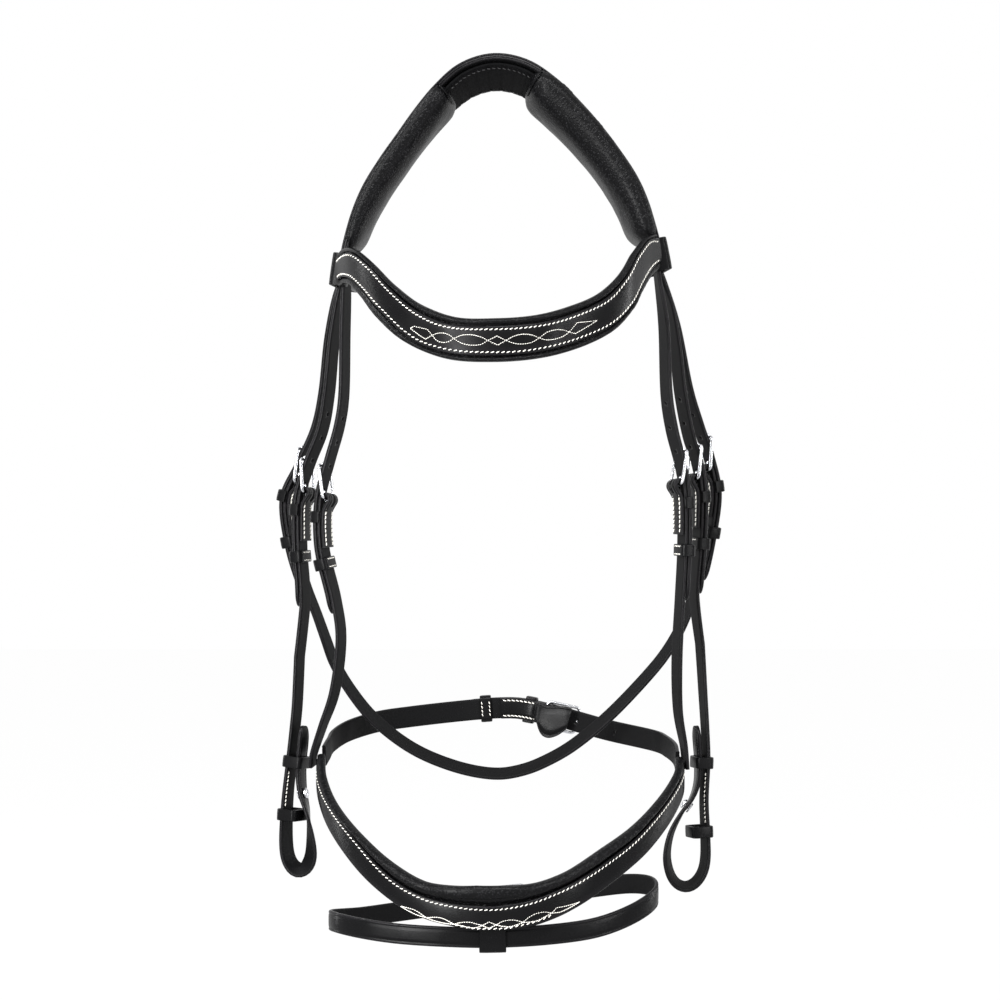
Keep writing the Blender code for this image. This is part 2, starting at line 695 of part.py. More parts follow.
def headpiece(guide):
    """The crown strap, its lining and the pad on each side."""
    half = CROWN_WIDTH / 2
    zero = Vector((0, 0, 0))
    strap = [section(place, half, CROWN_THICKNESS / 2) for _, place in crown_stations(guide, 0, guide.length)]
    new_object("crown_strap", lofted("crown_strap", strap), LEATHER, zero)
    start, end = (share * guide.length for share in LINING_SHARES)
    under = -(CROWN_THICKNESS / 2 + LAYER_GAP + LINING_THICKNESS / 2)
    lining = [
        section(place, LINING_WIDTH / 2, LINING_THICKNESS / 2, level=under)
        for _, place in crown_stations(guide, start, end)
    ]
    new_object("crown_lining", lofted("crown_lining", lining), SOFT_LEATHER, zero)
    for name, shares, thickness in (
        ("off_head_pad", OFF_PAD_SHARES, OFF_PAD_THICKNESS),
        ("near_head_pad", NEAR_PAD_SHARES, NEAR_PAD_THICKNESS),
    ):
        start, end = (share * guide.length for share in shares)
        rows = crown_stations(guide, start, end)
        low, high = rows[0][0], rows[-1][0]
        pad = []
        for stop, place in rows:
            pad.append(pad_section(place, (stop - low) / (high - low), PAD_WIDTH / 2, thickness))
        new_object(name, lofted(name, pad), SOFT_LEATHER, zero)


def padded_band(name, guide, band, pivot, parent):
    """A padded band and the leather face that lies in its hollow."""
    padding, facing = [], []
    for stop in guide.stops(BAND_GAP, guide.length - BAND_GAP, STATION_STEP):
        part = stop / guide.length
        half = band.height / 2 * float(np.interp(part, BAND_PLACE_SHARES, band.height_shares))
        thick = band.depth / 2 * float(np.interp(part, BAND_PLACE_SHARES, band.depth_shares))
        place = guide.at(stop)
        padding.append(section(place, half, thick, band.profile_shares))
        low, high = (share * half for share in band.face_shares)
        level = thick * FLOOR_SHARE + BAND_GAP + band.face / 2
        facing.append(section(place, (high - low) / 2, band.face / 2, level=level, shift=(high + low) / 2))
    new_object(name + "_padding", lofted(name + "_padding", padding), SOFT_LEATHER, pivot, parent)
    new_object(name + "_face", lofted(name + "_face", facing), LEATHER, pivot, parent)


def browband(guides):
    """The browband and the loop at each end that the headpiece's straps run through."""
    parent = pivot_empty("browband_slide", guides["browband"].at(guides["browband"].length / 2).point)
    pivot = parent.location.copy()
    padded_band("browband", guides["browband"], BROWBAND, pivot, parent)
    room = CROWN_THICKNESS / 2 + BROW_LOOP_ROOM
    for side in SIDES:
        guide = guides[side.name + "_loop"]
        keeper(side.name + "_browband_loop", guide, guide.length / 2, CROWN_WIDTH, -room, room, pivot, parent,
               BROW_LOOP_ROOM, BROW_LOOP_HEIGHT, BROW_LOOP_THICKNESS)


def flat_about(guide, middle, half, places):
    """The same stations, with those near the middle squared to it, so that a strap is flat there."""
    seat = guide.at(middle)
    squared = []
    for stop, place in places:
        if abs(stop - middle) <= half + GAP:
            place = Place(seat.shifted(along=stop - middle), seat.along, seat.across, seat.out)
        squared.append(place)
    return squared


def cheekpiece(side, guide, heel, bottom, width, stud_at, pivot, parent):
    """A cheekpiece: folded round its buckle's bar, round the bit, and hooked on its stud inside."""
    name = side + "_cheekpiece"
    half = width / 2
    fold = [section(place, half, STRAP_THICKNESS / 2) for place in path_places(guide, fold_path(heel))]
    seat = LOOP_STEP / 2
    start = heel + 2 * LEVELS.fold_radius
    stops = guide.stops(start, bottom - BIT_LOOP_RUN)
    stops += guide.stops(bottom - BIT_LOOP_RUN + LOOP_STEP, bottom - seat, LOOP_STEP)
    stops += guide.stops(bottom + seat, guide.length - TIP_LENGTH, LOOP_STEP)
    stops += [guide.length - TIP_LENGTH / 2, guide.length - TIP_LENGTH / 8, guide.length]
    places = flat_about(guide, bottom, seat, [(stop, guide.at(stop)) for stop in stops])
    run = []
    for stop, place in zip(stops, places):
        wide = tip_widths([stop], guide.length, half)[0]
        ease = min(max((stop - heel - BILLET_PAST_BAR) / FOLD_LENGTH, 0.0), 1.0)
        run.append(section(place, wide, STRAP_THICKNESS / 2, level=LEVELS.main * (1 - ease)))
    item = new_object(name, lofted(name, fold + run), LEATHER, pivot, parent)
    cut(item, slot_cutter(name + "_slot", guide, heel))
    stud_hole = hole_cutter(name + "_stud_hole", guide, [stud_at], [STUD_STEM_RADIUS + GAP])
    cut(item, stud_hole)
    return item


def return_reach(guide, stop, bottom):
    """How far inside a bit loop's outer run its inner run lies, beside a keeper at a length."""
    place = guide.at(stop)
    reaches = []
    for other in guide.stops(bottom, guide.length, BAND_GAP):
        offset = guide.point(other) - place.point
        if abs(offset.dot(place.along)) < KEEPER_WIDTH / 2:
            reaches.append(-offset.dot(place.out))
    return max(reaches, default=0.0)


def hook_stud(side, guide, stud_at, pivot, parent):
    """A stud turned as one piece: a base between the strap's two runs, a stem and a domed head."""
    name = side + "_hook_stud"
    place = guide.at(stud_at)
    inside = -(STRAP_THICKNESS / 2 + BAND_GAP)
    outside = STRAP_THICKNESS / 2 + BAND_GAP
    foot = inside - STUD_BASE_HEIGHT
    outline = [
        (0.0, foot), (STUD_BASE_RADIUS, foot), (STUD_BASE_RADIUS, inside), (STUD_STEM_RADIUS, inside),
        (STUD_STEM_RADIUS, outside), (STUD_HEAD_RADIUS, outside),
        (STUD_HEAD_RADIUS * 0.9, outside + STUD_HEAD_HEIGHT * 0.6), (0.0, outside + STUD_HEAD_HEIGHT),
    ]
    bm = bmesh.new()
    verts = [bm.verts.new((radius, 0, height)) for radius, height in outline]
    edges = [bm.edges.new(pair) for pair in zip(verts, verts[1:])]
    bmesh.ops.spin(
        bm, geom=verts + edges, axis=(0, 0, 1), cent=(0, 0, 0), angle=2 * pi, steps=12, use_merge=True,
    )
    bmesh.ops.remove_doubles(bm, verts=bm.verts, dist=GAP / 10)
    turn = Matrix((place.along, place.across, place.out)).transposed().to_4x4()
    bmesh.ops.transform(bm, matrix=Matrix.Translation(place.point) @ turn, verts=bm.verts)
    bmesh.ops.recalc_face_normals(bm, faces=bm.faces)
    mesh = bpy.data.meshes.new(name)
    bm.to_mesh(mesh)
    bm.free()
    new_object(name, mesh, STEEL, pivot, parent)


def clean_scene():
    """Remove every object, so that the model starts from nothing."""
    for item in list(bpy.data.objects):
        bpy.data.objects.remove(item, do_unlink=True)


@dataclass
class Side:
    """One side's name and the lengths along its guides at which its pieces lie."""

    name: str
    cheek_heel: float
    nose_heel: float
    throat_heel: float
    bit: float
    stud: float
    bit_keeper: float
    loose_keeper: float


SIDES = (Side("off", *OFF_LENGTHS), Side("near", *NEAR_LENGTHS))


def strap_sections(guide, heel, end, half):
    """The cross-sections of a strap folded round its buckle's bar and run on to its end."""
    fold = [section(place, half, STRAP_THICKNESS / 2) for place in path_places(guide, fold_path(heel))]
    stops = guide.stops(heel + 2 * LEVELS.fold_radius, end)
    return fold + [section(guide.at(stop), half, STRAP_THICKNESS / 2, level=LEVELS.main) for stop in stops]


def buckled_billet(name, guide, heel, width, pivot, parent):
    """A punched billet on its body."""
    item = new_object(name, billet_mesh(name, guide, heel, width), LEATHER, pivot, parent)
    punched(item, guide, heel)
    return item


def noseband_strap(side, guide, pivot, parent):
    """A noseband's hanging strap, its billet, buckle and keepers."""
    stem = side.name + "_noseband"
    buckled_billet(stem + "_billet", guide, side.nose_heel, NOSE_STRAP_WIDTH, pivot, parent)
    sections = strap_sections(guide, side.nose_heel, guide.length, NOSE_STRAP_WIDTH / 2)
    item = new_object(stem + "_strap", lofted(stem + "_strap", sections), LEATHER, pivot, parent)
    cut(item, slot_cutter(stem + "_slot", guide, side.nose_heel))
    buckle(stem, guide, side.nose_heel, NOSE_STRAP_WIDTH, parent)
    strap_keepers(stem, guide, side.nose_heel, NOSE_STRAP_WIDTH, pivot, parent, fixed=False)


def cheek(side, guide):
    """One side's cheek: billet, buckle, cheekpiece, keepers and hook stud, hung from the headpiece."""
    stem = side.name + "_cheek"
    pivot = guide.at(0.0).point
    parent = pivot_empty(stem + "_swing", pivot)
    buckled_billet(stem + "_billet", guide, side.cheek_heel, CHEEK_WIDTH, pivot, parent)
    cheekpiece(side.name, guide, side.cheek_heel, side.bit, CHEEK_WIDTH, side.stud, pivot, parent)
    buckle(stem, guide, side.cheek_heel, CHEEK_WIDTH, parent)
    strap_keepers(stem, guide, side.cheek_heel, CHEEK_WIDTH, pivot, parent)
    hook_stud(side.name, guide, side.stud, pivot, parent)
    flat = STRAP_THICKNESS / 2 + GAP
    both = -return_reach(guide, side.bit_keeper, side.bit) - flat - BAND_GAP
    room = BAND_GAP
    keeper(side.name + "_bit_keeper", guide, side.bit_keeper, CHEEK_WIDTH, both, flat, pivot, parent, room)
    hook = -HOOK_KEEPER_REACH
    keeper(side.name + "_hook_keeper", guide, side.loose_keeper, CHEEK_WIDTH, hook, flat, pivot, parent, room)


def throatlatch(guide, off_guide):
    """The throatlatch with a billet and a buckle on each side, swinging from the headpiece as one."""
    off, near = SIDES
    pivot = guide.at(0.0).point
    parent = pivot_empty("throatlatch_swing", pivot)
    half = THROAT_WIDTH / 2
    end = guide.length - off.throat_heel - 2 * LEVELS.fold_radius
    run = strap_sections(guide, near.throat_heel, end, half)
    far_places = path_places(off_guide, fold_path(off.throat_heel))
    far = [section(place, half, STRAP_THICKNESS / 2) for place in far_places]
    item = new_object("throatlatch", lofted("throatlatch", run + far[::-1]), LEATHER, pivot, parent)
    for side, line in ((near, guide), (off, off_guide)):
        stem = side.name + "_throat"
        cut(item, slot_cutter(stem + "_slot", line, side.throat_heel))
        buckled_billet(stem + "_billet", line, side.throat_heel, THROAT_WIDTH, pivot, parent)
        buckle(stem, line, side.throat_heel, THROAT_WIDTH, parent)
        strap_keepers(stem, line, side.throat_heel, THROAT_WIDTH, pivot, parent)


def jaw_strap(guide, pivot, parent):
    """The jaw strap behind the noseband: billet, strap, buckle, keepers and the tab inside the buckle."""
    half = JAW_WIDTH / 2
    heel = JAW_HEEL
    stops = guide.stops(0.0, heel + JAW_PAST_BAR)
    end = stops[-1]
    sections = [
        section(guide.at(stop), width, BILLET_THICKNESS / 2)
        for stop, width in zip(stops, tip_widths(stops, end, half))
    ]
    billet = new_object("jaw_billet", lofted("jaw_billet", sections), LEATHER, pivot, parent)
    punched(billet, guide, heel)
    sections = strap_sections(guide, heel, guide.length, half)
    strap = new_object("jaw_strap", lofted("jaw_strap", sections), LEATHER, pivot, parent)
    cut(strap, slot_cutter("jaw_slot", guide, heel))
    buckle("jaw", guide, heel, JAW_WIDTH, parent)
    strap_keepers("jaw", guide, heel, JAW_WIDTH, pivot, parent, fixed=False)
    below_fold = LEVELS.heel - LEVELS.fold_radius - STRAP_THICKNESS / 2 - BAND_GAP - TAB_THICKNESS / 2
    below_strap = LEVELS.returning - STRAP_THICKNESS / 2 - FOLD_ROOM - TAB_THICKNESS / 2
    path = [
        (heel + FOLD_LENGTH / 4, below_strap), (heel + FOLD_LENGTH / 6, below_fold), (heel, below_fold),
        (heel - TAB_LENGTH / 2, below_fold), (heel - TAB_LENGTH, below_fold),
    ]
    widths = (0.6, 0.7, 0.9, 1.0, 0.6)
    tab = [
        section(place, TAB_WIDTH / 2 * share, TAB_THICKNESS / 2)
        for place, share in zip(path_places(guide, path), widths)
    ]
    new_object("jaw_tab", lofted("jaw_tab", tab), LEATHER, pivot, parent)


def flash(guide, loop_length, nose_pivot, nose_parent):
    """The flash strap, buckled behind the nose, and the loop that carries it under the nosepiece."""
    middle = flash_middle(guide)
    front = guide.at(middle)
    parent = pivot_empty("flash_swing", front.point)
    pivot = front.point
    half = FLASH_WIDTH / 2
    heel = FLASH_HEEL
    fold = [section(place, half, STRAP_THICKNESS / 2) for place in path_places(guide, fold_path(heel))]
    end = loop_length + heel + FLASH_PAST_BAR
    run = []
    for stop in guide.stops(heel + 2 * LEVELS.fold_radius, end):
        part = min(max((stop - heel - FOLD_LENGTH * 2) / (loop_length / 4), 0.0), 1.0)
        wide = tip_widths([stop], end, half)[0]
        run.append(section(guide.at(stop), wide, STRAP_THICKNESS / 2, level=LEVELS.main * (1 - part)))
    item = new_object("flash_strap", lofted("flash_strap", fold + run), LEATHER, pivot, parent)
    cut(item, slot_cutter("flash_slot", guide, heel))
    cut(item, hole_cutter("flash_hole", guide, [loop_length + heel - HOLE_ABOVE_BAR], [TONGUE_HOLE_RADIUS]))
    buckle("flash", guide, heel, FLASH_WIDTH, parent)
    top = BILLET_THICKNESS / 2 + GAP
    low = LEVELS.returning - STRAP_THICKNESS / 2 - FOLD_ROOM
    keeper("flash_keeper", guide, heel + FIXED_KEEPER_AT, FLASH_WIDTH, low, top, pivot, parent)
    reach = STRAP_THICKNESS / 2 + GAP * 3
    keeper("flash_loop", guide, middle, FLASH_WIDTH, -reach, reach, nose_pivot, nose_parent, FLASH_LOOP_ROOM,
           FLASH_LOOP_WIDTH)


def flash_middle(guide):
    """The length at which the flash strap crosses the middle of the nose, in front."""
    stops = guide.stops(guide.length / 4, guide.length * 3 / 4, BAND_GAP)
    return min(stops, key=lambda stop: abs(guide.point(stop).x))


def noseband(guides):
    """The noseband with both its straps, the jaw strap and the flash strap, swinging as one."""
    pivot = guides["near_nose"].at(0.0).point
    parent = pivot_empty("noseband_swing", pivot)
    for side in SIDES:
        noseband_strap(side, guides[side.name + "_nose"], pivot, parent)
    padded_band("nosepiece", guides["nosepiece"], NOSEPIECE, pivot, parent)
    jaw_strap(guides["jaw"], pivot, parent)
    flash(guides["flash"], guides["flash_ring"].length, pivot, parent)


def build():
    """Make the whole bridle."""
    clean_scene()
    origin = poll_seat()
    guides = {
        "crown": Guide(CROWN_SHARES, BACK, 1, origin),
        "browband": Guide(BROWBAND_SHARES, UP, 1, origin),
        "off_loop": Guide(OFF_LOOP_SHARES, BACK, -1, origin),
        "near_loop": Guide(NEAR_LOOP_SHARES, BACK, 1, origin),
        "off_cheek": Guide(OFF_CHEEK_SHARES, BACK, -1, origin),
        "near_cheek": Guide(NEAR_CHEEK_SHARES, BACK, 1, origin),
        "off_nose": Guide(OFF_NOSE_SHARES, BACK, -1, origin),
        "near_nose": Guide(NEAR_NOSE_SHARES, BACK, 1, origin),
        "throat": Guide(THROAT_SHARES, BACK, 1, origin),
        "off_throat": Guide(THROAT_SHARES[::-1], BACK, -1, origin),
        "nosepiece": Guide(NOSEPIECE_SHARES, UP, 1, origin),
        "jaw": Guide(JAW_SHARES, UP, 1, origin),
        "flash": Guide(FLASH_SHARES + FLASH_SHARES[:FLASH_OVERLAP_ROWS], UP, 1, origin),
        "flash_ring": Guide(FLASH_SHARES + FLASH_SHARES[:1], UP, 1, origin),
    }
    headpiece(guides["crown"])
    browband(guides)
    for side in SIDES:
        cheek(side, guides[side.name + "_cheek"])
    throatlatch(guides["throat"], guides["off_throat"])
    noseband(guides)


if __name__ == "__main__":
    build()
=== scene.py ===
"""The looks of an English bridle in black leather, hung by its headpiece and seen from the front.

Straps run along the same routes as the model's solids, so each visual piece lies where its
solid lies. Lengths are in metres, +Z is up and the bridle faces -Y.
"""

from __future__ import annotations

import logging
from collections.abc import Callable, Iterable
from dataclasses import dataclass
from enum import Enum

import bpy
import numpy as np
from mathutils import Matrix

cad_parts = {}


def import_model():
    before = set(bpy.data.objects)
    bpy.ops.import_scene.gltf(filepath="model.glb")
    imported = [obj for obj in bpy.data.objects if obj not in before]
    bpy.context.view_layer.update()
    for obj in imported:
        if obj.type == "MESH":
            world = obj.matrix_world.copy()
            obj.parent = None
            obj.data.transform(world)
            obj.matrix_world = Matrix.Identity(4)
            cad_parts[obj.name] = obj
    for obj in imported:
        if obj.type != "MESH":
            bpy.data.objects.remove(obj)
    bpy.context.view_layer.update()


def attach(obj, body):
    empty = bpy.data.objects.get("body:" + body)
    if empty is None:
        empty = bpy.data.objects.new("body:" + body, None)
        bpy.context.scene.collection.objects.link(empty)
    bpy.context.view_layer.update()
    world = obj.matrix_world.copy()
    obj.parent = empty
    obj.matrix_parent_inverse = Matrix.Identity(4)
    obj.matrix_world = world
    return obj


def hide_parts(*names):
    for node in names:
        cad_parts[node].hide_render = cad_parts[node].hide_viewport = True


LOG = logging.getLogger("bridle")
MM = 0.001

# The photograph's frame, in metres, and the camera's sensor in millimetres.
SPAN = 0.640
EYE_DISTANCE = 2.0
EYE_DROP = 0.278
SENSOR_WIDTH = 36.0
CENTRE_SHARE = 2.0
UP = np.array((0.0, 0.0, 1.0))
BACK = np.array((0.0, 1.0, 0.0))

# Leathers and clearances, as in the solids.
GAP = 0.3 * MM
LAYER_GAP = 0.4 * MM
BAND_GAP = 0.6 * MM
FOLD_ROOM = 1.2 * MM
BILLET_THICKNESS = 2.6 * MM
STRAP_THICKNESS = 2.4 * MM
CROWN_THICKNESS = 4.5 * MM
CROWN_HALF = 21.0 * MM
CREASE = 1.9 * MM
LINING_THICKNESS = 4.0 * MM
BAR_RADIUS = 1.1 * MM
TONGUE_RADIUS = 0.8 * MM
FRAME_LENGTH = 20.0 * MM
HOLE_RADIUS = 1.15 * MM
HOLE_ABOVE_BAR = 5.5 * MM
HOLE_PITCH = 15.5 * MM
HOLE_COUNT = 4
FOLD_LENGTH = 32.0 * MM
BILLET_PAST_BAR = 74.0 * MM
TIP_LENGTH = 9.0 * MM
TIP_SHARES = (0.8, 0.6, 0.4, 0.25, 0.12, 0.04, 0.0)
KEEPER_REACH = 7.5 * MM
KEEPER_THICKNESS = 1.6 * MM
LOOP_CORNER = 1.3 * MM
FIXED_KEEPER_AT = 12.0 * MM
RUNNER_AT = 42.0 * MM

# How finely shapes are worked out.
REACH = 2.0 * MM
STEP = 2.0 * MM
FINE_STEP = 0.6 * MM
ROUTE_STEPS = 12
SHARP_ANGLE = 50.0

# The cloth step of the padded covers.
COVER_VOXEL = 2.4 * MM
COVER_CAP = 1.1 * MM
COVER_STIFFNESS = 12.0
COVER_PRESSURE = 4.0
COVER_FRAMES = 20

Rows = tuple[tuple[float, float, float, float], ...]
Line = tuple[tuple[float, float], ...]


# Routes: thousandths of SPAN across, back and up, and a lean in degrees, as in the solids.
CROWN_SHARES: Rows = (
    (-149, 0, -197, 8), (-146.2, 0, -181, 8), (-138, 0, -152, 8), (-127, 0, -126, 8), (-111, 0, -100, 8),
    (-94, 0, -76, 8), (-75, 0, -52, 11), (-55, 0, -31, 15), (-32, 0, -13, 18), (-4, 0, -5, 19),
    (25, 0, -10, 18), (51, 0, -26, 16), (72, 0, -45, 14), (93, 0, -67, 12), (112, 0, -90, 10),
    (130, 0, -116, 9), (141, 0, -140, 9), (149, 0, -166, 9), (153.5, 0, -181, 8),
)
OFF_LOOP_SHARES: Rows = ((-149, 0, -184, 8), (-155.5, 0, -230, 8))
NEAR_LOOP_SHARES: Rows = ((152, 0, -169, 8), (161, 0, -215, 8))
OFF_CHEEK_SHARES: Rows = (
    (-152, 0, -208, 12), (-157.5, 0, -232, 20), (-164, 0, -274, 24), (-169, 0, -327, 26),
    (-175.5, 0, -364, 26), (-189, 0, -399, 26), (-199, 0, -434, 24), (-200, 0, -482, 22),
    (-197, 0, -534, 22), (-200, 0, -626, 22), (-203, 0, -663, 22), (-207, 0, -700, 23),
    (-210.5, 0, -734, 26), (-212, 0, -769, 32), (-210.5, -1, -789, 35), (-205.5, -3, -800, 36),
    (-198.5, -6, -804, 36), (-191, -9, -800, 36), (-187, -11, -789, 32), (-187.5, -11, -770, 18),
    (-191, -9, -746, -4), (-196, -6, -724, -18), (-197, -4, -699, -22), (-195, -4, -678, -22),
    (-194, -4, -660, -22),
)
NEAR_CHEEK_SHARES: Rows = (
    (155, 0, -192, 8), (163.5, 0, -217, 12), (172, 0, -243, 18), (178, 0, -285, 26), (182.5, 0, -327, 28),
    (190.5, 0, -369, 28), (200, 0, -400, 26), (204.5, 0, -434, 22), (203, 0, -482, 22), (200, 0, -534, 20),
    (204, 0, -612, 16), (207, 0, -663, 14), (208, 0, -694, 14), (206, 0, -733, 16), (207, 0, -763, 18),
    (207.5, 0, -790, 20), (204.5, 0, -806, 20), (197, 0, -817, 20), (187.5, 0, -821, 20),
    (178, 0, -817, 20), (171.5, 0, -806, 20), (169, 0, -789, 18), (173, 0, -768, 14), (182.5, 0, -749, 8),
    (193, 0, -734, 0), (199, 0, -717, -8), (200, 0, -694, -12), (199, 0, -676, -14), (198, 0, -660, -14),
)
OFF_NOSE_SHARES: Rows = (
    (-151.5, -22, -206.2, 14), (-152, -24, -232, 20), (-153, -27, -269, 22), (-154, -32, -327, 22),
    (-158.5, -35, -360, 22), (-168.5, -37, -396, 22), (-178, -38, -434, 22), (-178, -38, -482, 22),
    (-166, -38, -534, 22), (-161, -37, -574, 22), (-167, -33, -624, 22), (-179, -28, -659, 16),
    (-188, -22, -686, 12), (-190, -20, -700, 10),
)
NEAR_NOSE_SHARES: Rows = (
    (156.7, -22, -190, 8), (160.3, -24, -217, 10), (166, -27, -262, 22), (168.5, -32, -327, 26),
    (174, -35, -364, 28), (182.5, -37, -398, 26), (188, -38, -434, 22), (188.5, -38, -482, 20),
    (186, -37, -534, 20), (183, -34, -594, 22), (184, -28, -644, 18), (190, -22, -680, 12),
    (192, -20, -702, 10),
)
THROAT_SHARES: Rows = (
    (155.5, 22, -193.2, 8), (165, 24, -217, 12), (177.5, 28, -262, 24), (189, 34, -322, 28),
    (200, 38, -359, 28), (211, 41, -392, 26), (218.5, 44, -428, 22), (213.5, 47, -471, 20),
    (204, 50, -514, 20), (191, 54, -552, 24), (175.5, 58, -582, 26), (155, 62, -609, 28),
    (116, 66, -650, 30), (79, 69, -681, 30), (48, 71, -699, 30), (22, 72, -708.5, 30), (-4, 72, -711.5, 30),
    (-37, 72, -706, 30), (-73, 71, -693, 30), (-102, 69, -676, 30), (-130, 66, -652, 30),
    (-152, 62, -624, 28), (-167, 58, -598, 26), (-176, 54, -574, 24), (-185, 51, -549, 22),
    (-196, 49, -520, 22), (-208, 47, -480, 22), (-213, 44, -434, 24), (-198, 41, -400, 26),
    (-182, 38, -364, 26), (-174, 34, -327, 26), (-168.5, 28, -274, 24), (-161, 24, -232, 18),
    (-152.5, 22, -208.9, 10),
)
BROWBAND_SHARES: Rows = (
    (-157.5, -40, -204, 0), (-151.5, -62, -200, 0), (-142.5, -88, -203, 0), (-129, -111, -216, 0),
    (-110.5, -131, -237, 0), (-84, -148, -258, 0), (-46, -165, -272.5, 0), (-2, -172, -274.5, 0),
    (40, -167, -271, 0), (76, -153, -261.5, 0), (106, -136, -247.5, 0), (126.5, -114, -227.5, 0),
    (138.5, -90, -207, 0), (148.5, -65, -192.5, 0), (158.5, -41.6, -185.5, 0),
)
NOSEPIECE_SHARES: Rows = (
    (-176, -24, -694, 0), (-175, -52, -720, 0), (-165, -84, -748, 0), (-145, -114, -777, 0),
    (-116, -138, -807, 0), (-80, -157, -831, 0), (-42, -168, -840, 0), (-2, -172, -842, 0),
    (36, -169, -838, 0), (72, -158, -824, 0), (106, -138, -801, 0), (139, -110, -775, 0),
    (164, -78, -746, 0), (179, -48, -719, 0), (181, -24, -698, 0),
)
JAW_SHARES: Rows = (
    (179.4, -15, -696, 0), (177, 6, -688, 0), (169, 34, -681, 0), (156, 64, -675, 0), (112, 112, -665, 0),
    (83, 130, -657, 0), (58, 139, -650, 0), (27, 147, -643, 0), (2, 148, -642, 0), (-38, 146, -645, 0),
    (-91, 127, -651, 0), (-124, 103, -656, 0), (-153, 67, -665, 0), (-169, 34, -675, 0), (-174, 6, -683, 0),
    (-178, -13, -690, 0),
)
FLASH_OVERLAP_ROWS = 4
FLASH_SHARES: Rows = (
    (30, -10, -832, 0), (-10, -9, -834, 0), (-60, -12, -840, 0), (-105, -24, -846, 0), (-140, -50, -851, 0),
    (-168, -82, -853.5, 0), (-163, -112, -857, 0), (-136, -135, -863, 0), (-100, -147, -868, 0),
    (-54, -157, -871, 0), (-5, -159.1, -872, 0), (50, -156, -869, 0), (98, -142, -862, 0),
    (135, -122, -848, 0), (157, -94, -832, 0), (154, -63, -821, 0), (132, -35, -818, 0), (95, -16, -822, 0),
    (60, -11, -828, 0),
)

# Half-height and half-depth of the padded bands: places along them, and shares of the full ones there.
BROWBAND_HEIGHT_SHARES = (
    (0.0, 0.80), (0.06, 0.84), (0.18, 0.86), (0.34, 0.96), (0.5, 1.0), (0.66, 0.98), (0.80, 0.90),
    (0.88, 0.96), (0.94, 0.94), (1.0, 0.82),
)
BROWBAND_DEPTH_SHARES = (
    (0.0, 0.60), (0.06, 0.70), (0.18, 0.90), (0.34, 1.0), (0.66, 1.0), (0.82, 0.90), (0.94, 0.70),
    (1.0, 0.60),
)
NOSEPIECE_HEIGHT_SHARES = (
    (0.0, 0.44), (0.06, 0.48), (0.12, 0.55), (0.18, 0.62), (0.25, 0.70), (0.32, 0.76), (0.38, 0.81),
    (0.43, 0.90), (0.47, 1.0), (0.53, 1.0), (0.58, 0.91), (0.64, 0.85), (0.72, 0.82), (0.80, 0.75),
    (0.87, 0.68), (0.94, 0.58), (1.0, 0.5),
)
NOSEPIECE_DEPTH_SHARES = (
    (0.0, 0.50), (0.06, 0.62), (0.18, 0.80), (0.34, 0.92), (0.5, 1.0), (0.66, 0.92), (0.82, 0.80),
    (0.94, 0.62), (1.0, 0.50),
)

# Cross-sections of the paddings: shares of the half-height across and of the half-depth out.
BROWBAND_PROFILE_SHARES = (
    (-1.0, -0.2), (-0.9, -0.75), (-0.6, -1.0), (0.6, -1.0), (0.9, -0.75), (1.0, -0.2), (0.97, 0.7),
    (0.87, 1.0), (0.77, 0.7), (0.74, 0.1), (-0.74, 0.1), (-0.77, 0.7), (-0.87, 1.0), (-0.97, 0.7),
)
NOSEPIECE_PROFILE_SHARES = (
    (-1.0, -0.3), (-0.9, -0.8), (-0.6, -1.0), (0.6, -1.0), (0.93, -0.6), (1.0, 0.2), (0.9, 1.0),
    (0.66, 1.35), (0.42, 1.1), (0.27, 0.5), (0.23, 0.1), (-0.96, 0.1),
)

# Lines on the bands: places along them, and shares of their half-height from the middle.
BROWBAND_EDGES: tuple[Line, Line] = (
    ((0.0, -0.66), (0.07, -0.63), (0.12, -0.55), (0.25, -0.52), (0.31, -0.64), (0.35, -0.73), (0.5, -0.72),
     (0.6, -0.70), (0.68, -0.69), (0.81, -0.71), (0.88, -0.6), (1.0, -0.6)),
    ((0.0, 0.60), (0.0375, 0.62), (0.09, 0.78), (0.13, 0.86), (0.2, 0.86), (0.28, 0.72), (0.33, 0.65),
     (0.4, 0.62), (0.5, 0.65), (0.6, 0.63), (0.76, 0.66), (0.84, 0.82), (0.9, 0.88), (0.96, 0.88),
     (1.0, 0.78)),
)
BROWBAND_ROWS: tuple[Line, ...] = (
    ((0.01, 0.42), (0.0375, 0.46), (0.0873, 0.64), (0.1241, 0.72), (0.198, 0.71), (0.2835, 0.56),
     (0.324, 0.5), (0.37, 0.45), (0.41, 0.47), (0.4517, 0.49), (0.5433, 0.48), (0.6137, 0.47), (0.69, 0.49),
     (0.7644, 0.51), (0.84, 0.68), (0.894, 0.75), (0.932, 0.76), (0.96, 0.74), (0.99, 0.6)),
    ((0.01, -0.51), (0.068, -0.47), (0.12, -0.39), (0.173, -0.37), (0.2524, -0.36), (0.3066, -0.48),
     (0.3446, -0.57), (0.3832, -0.55), (0.43, -0.54), (0.4642, -0.55), (0.5246, -0.57), (0.59, -0.54),
     (0.6753, -0.53), (0.7407, -0.56), (0.8118, -0.55), (0.8834, -0.45), (0.93, -0.42), (0.985, -0.42)),
)
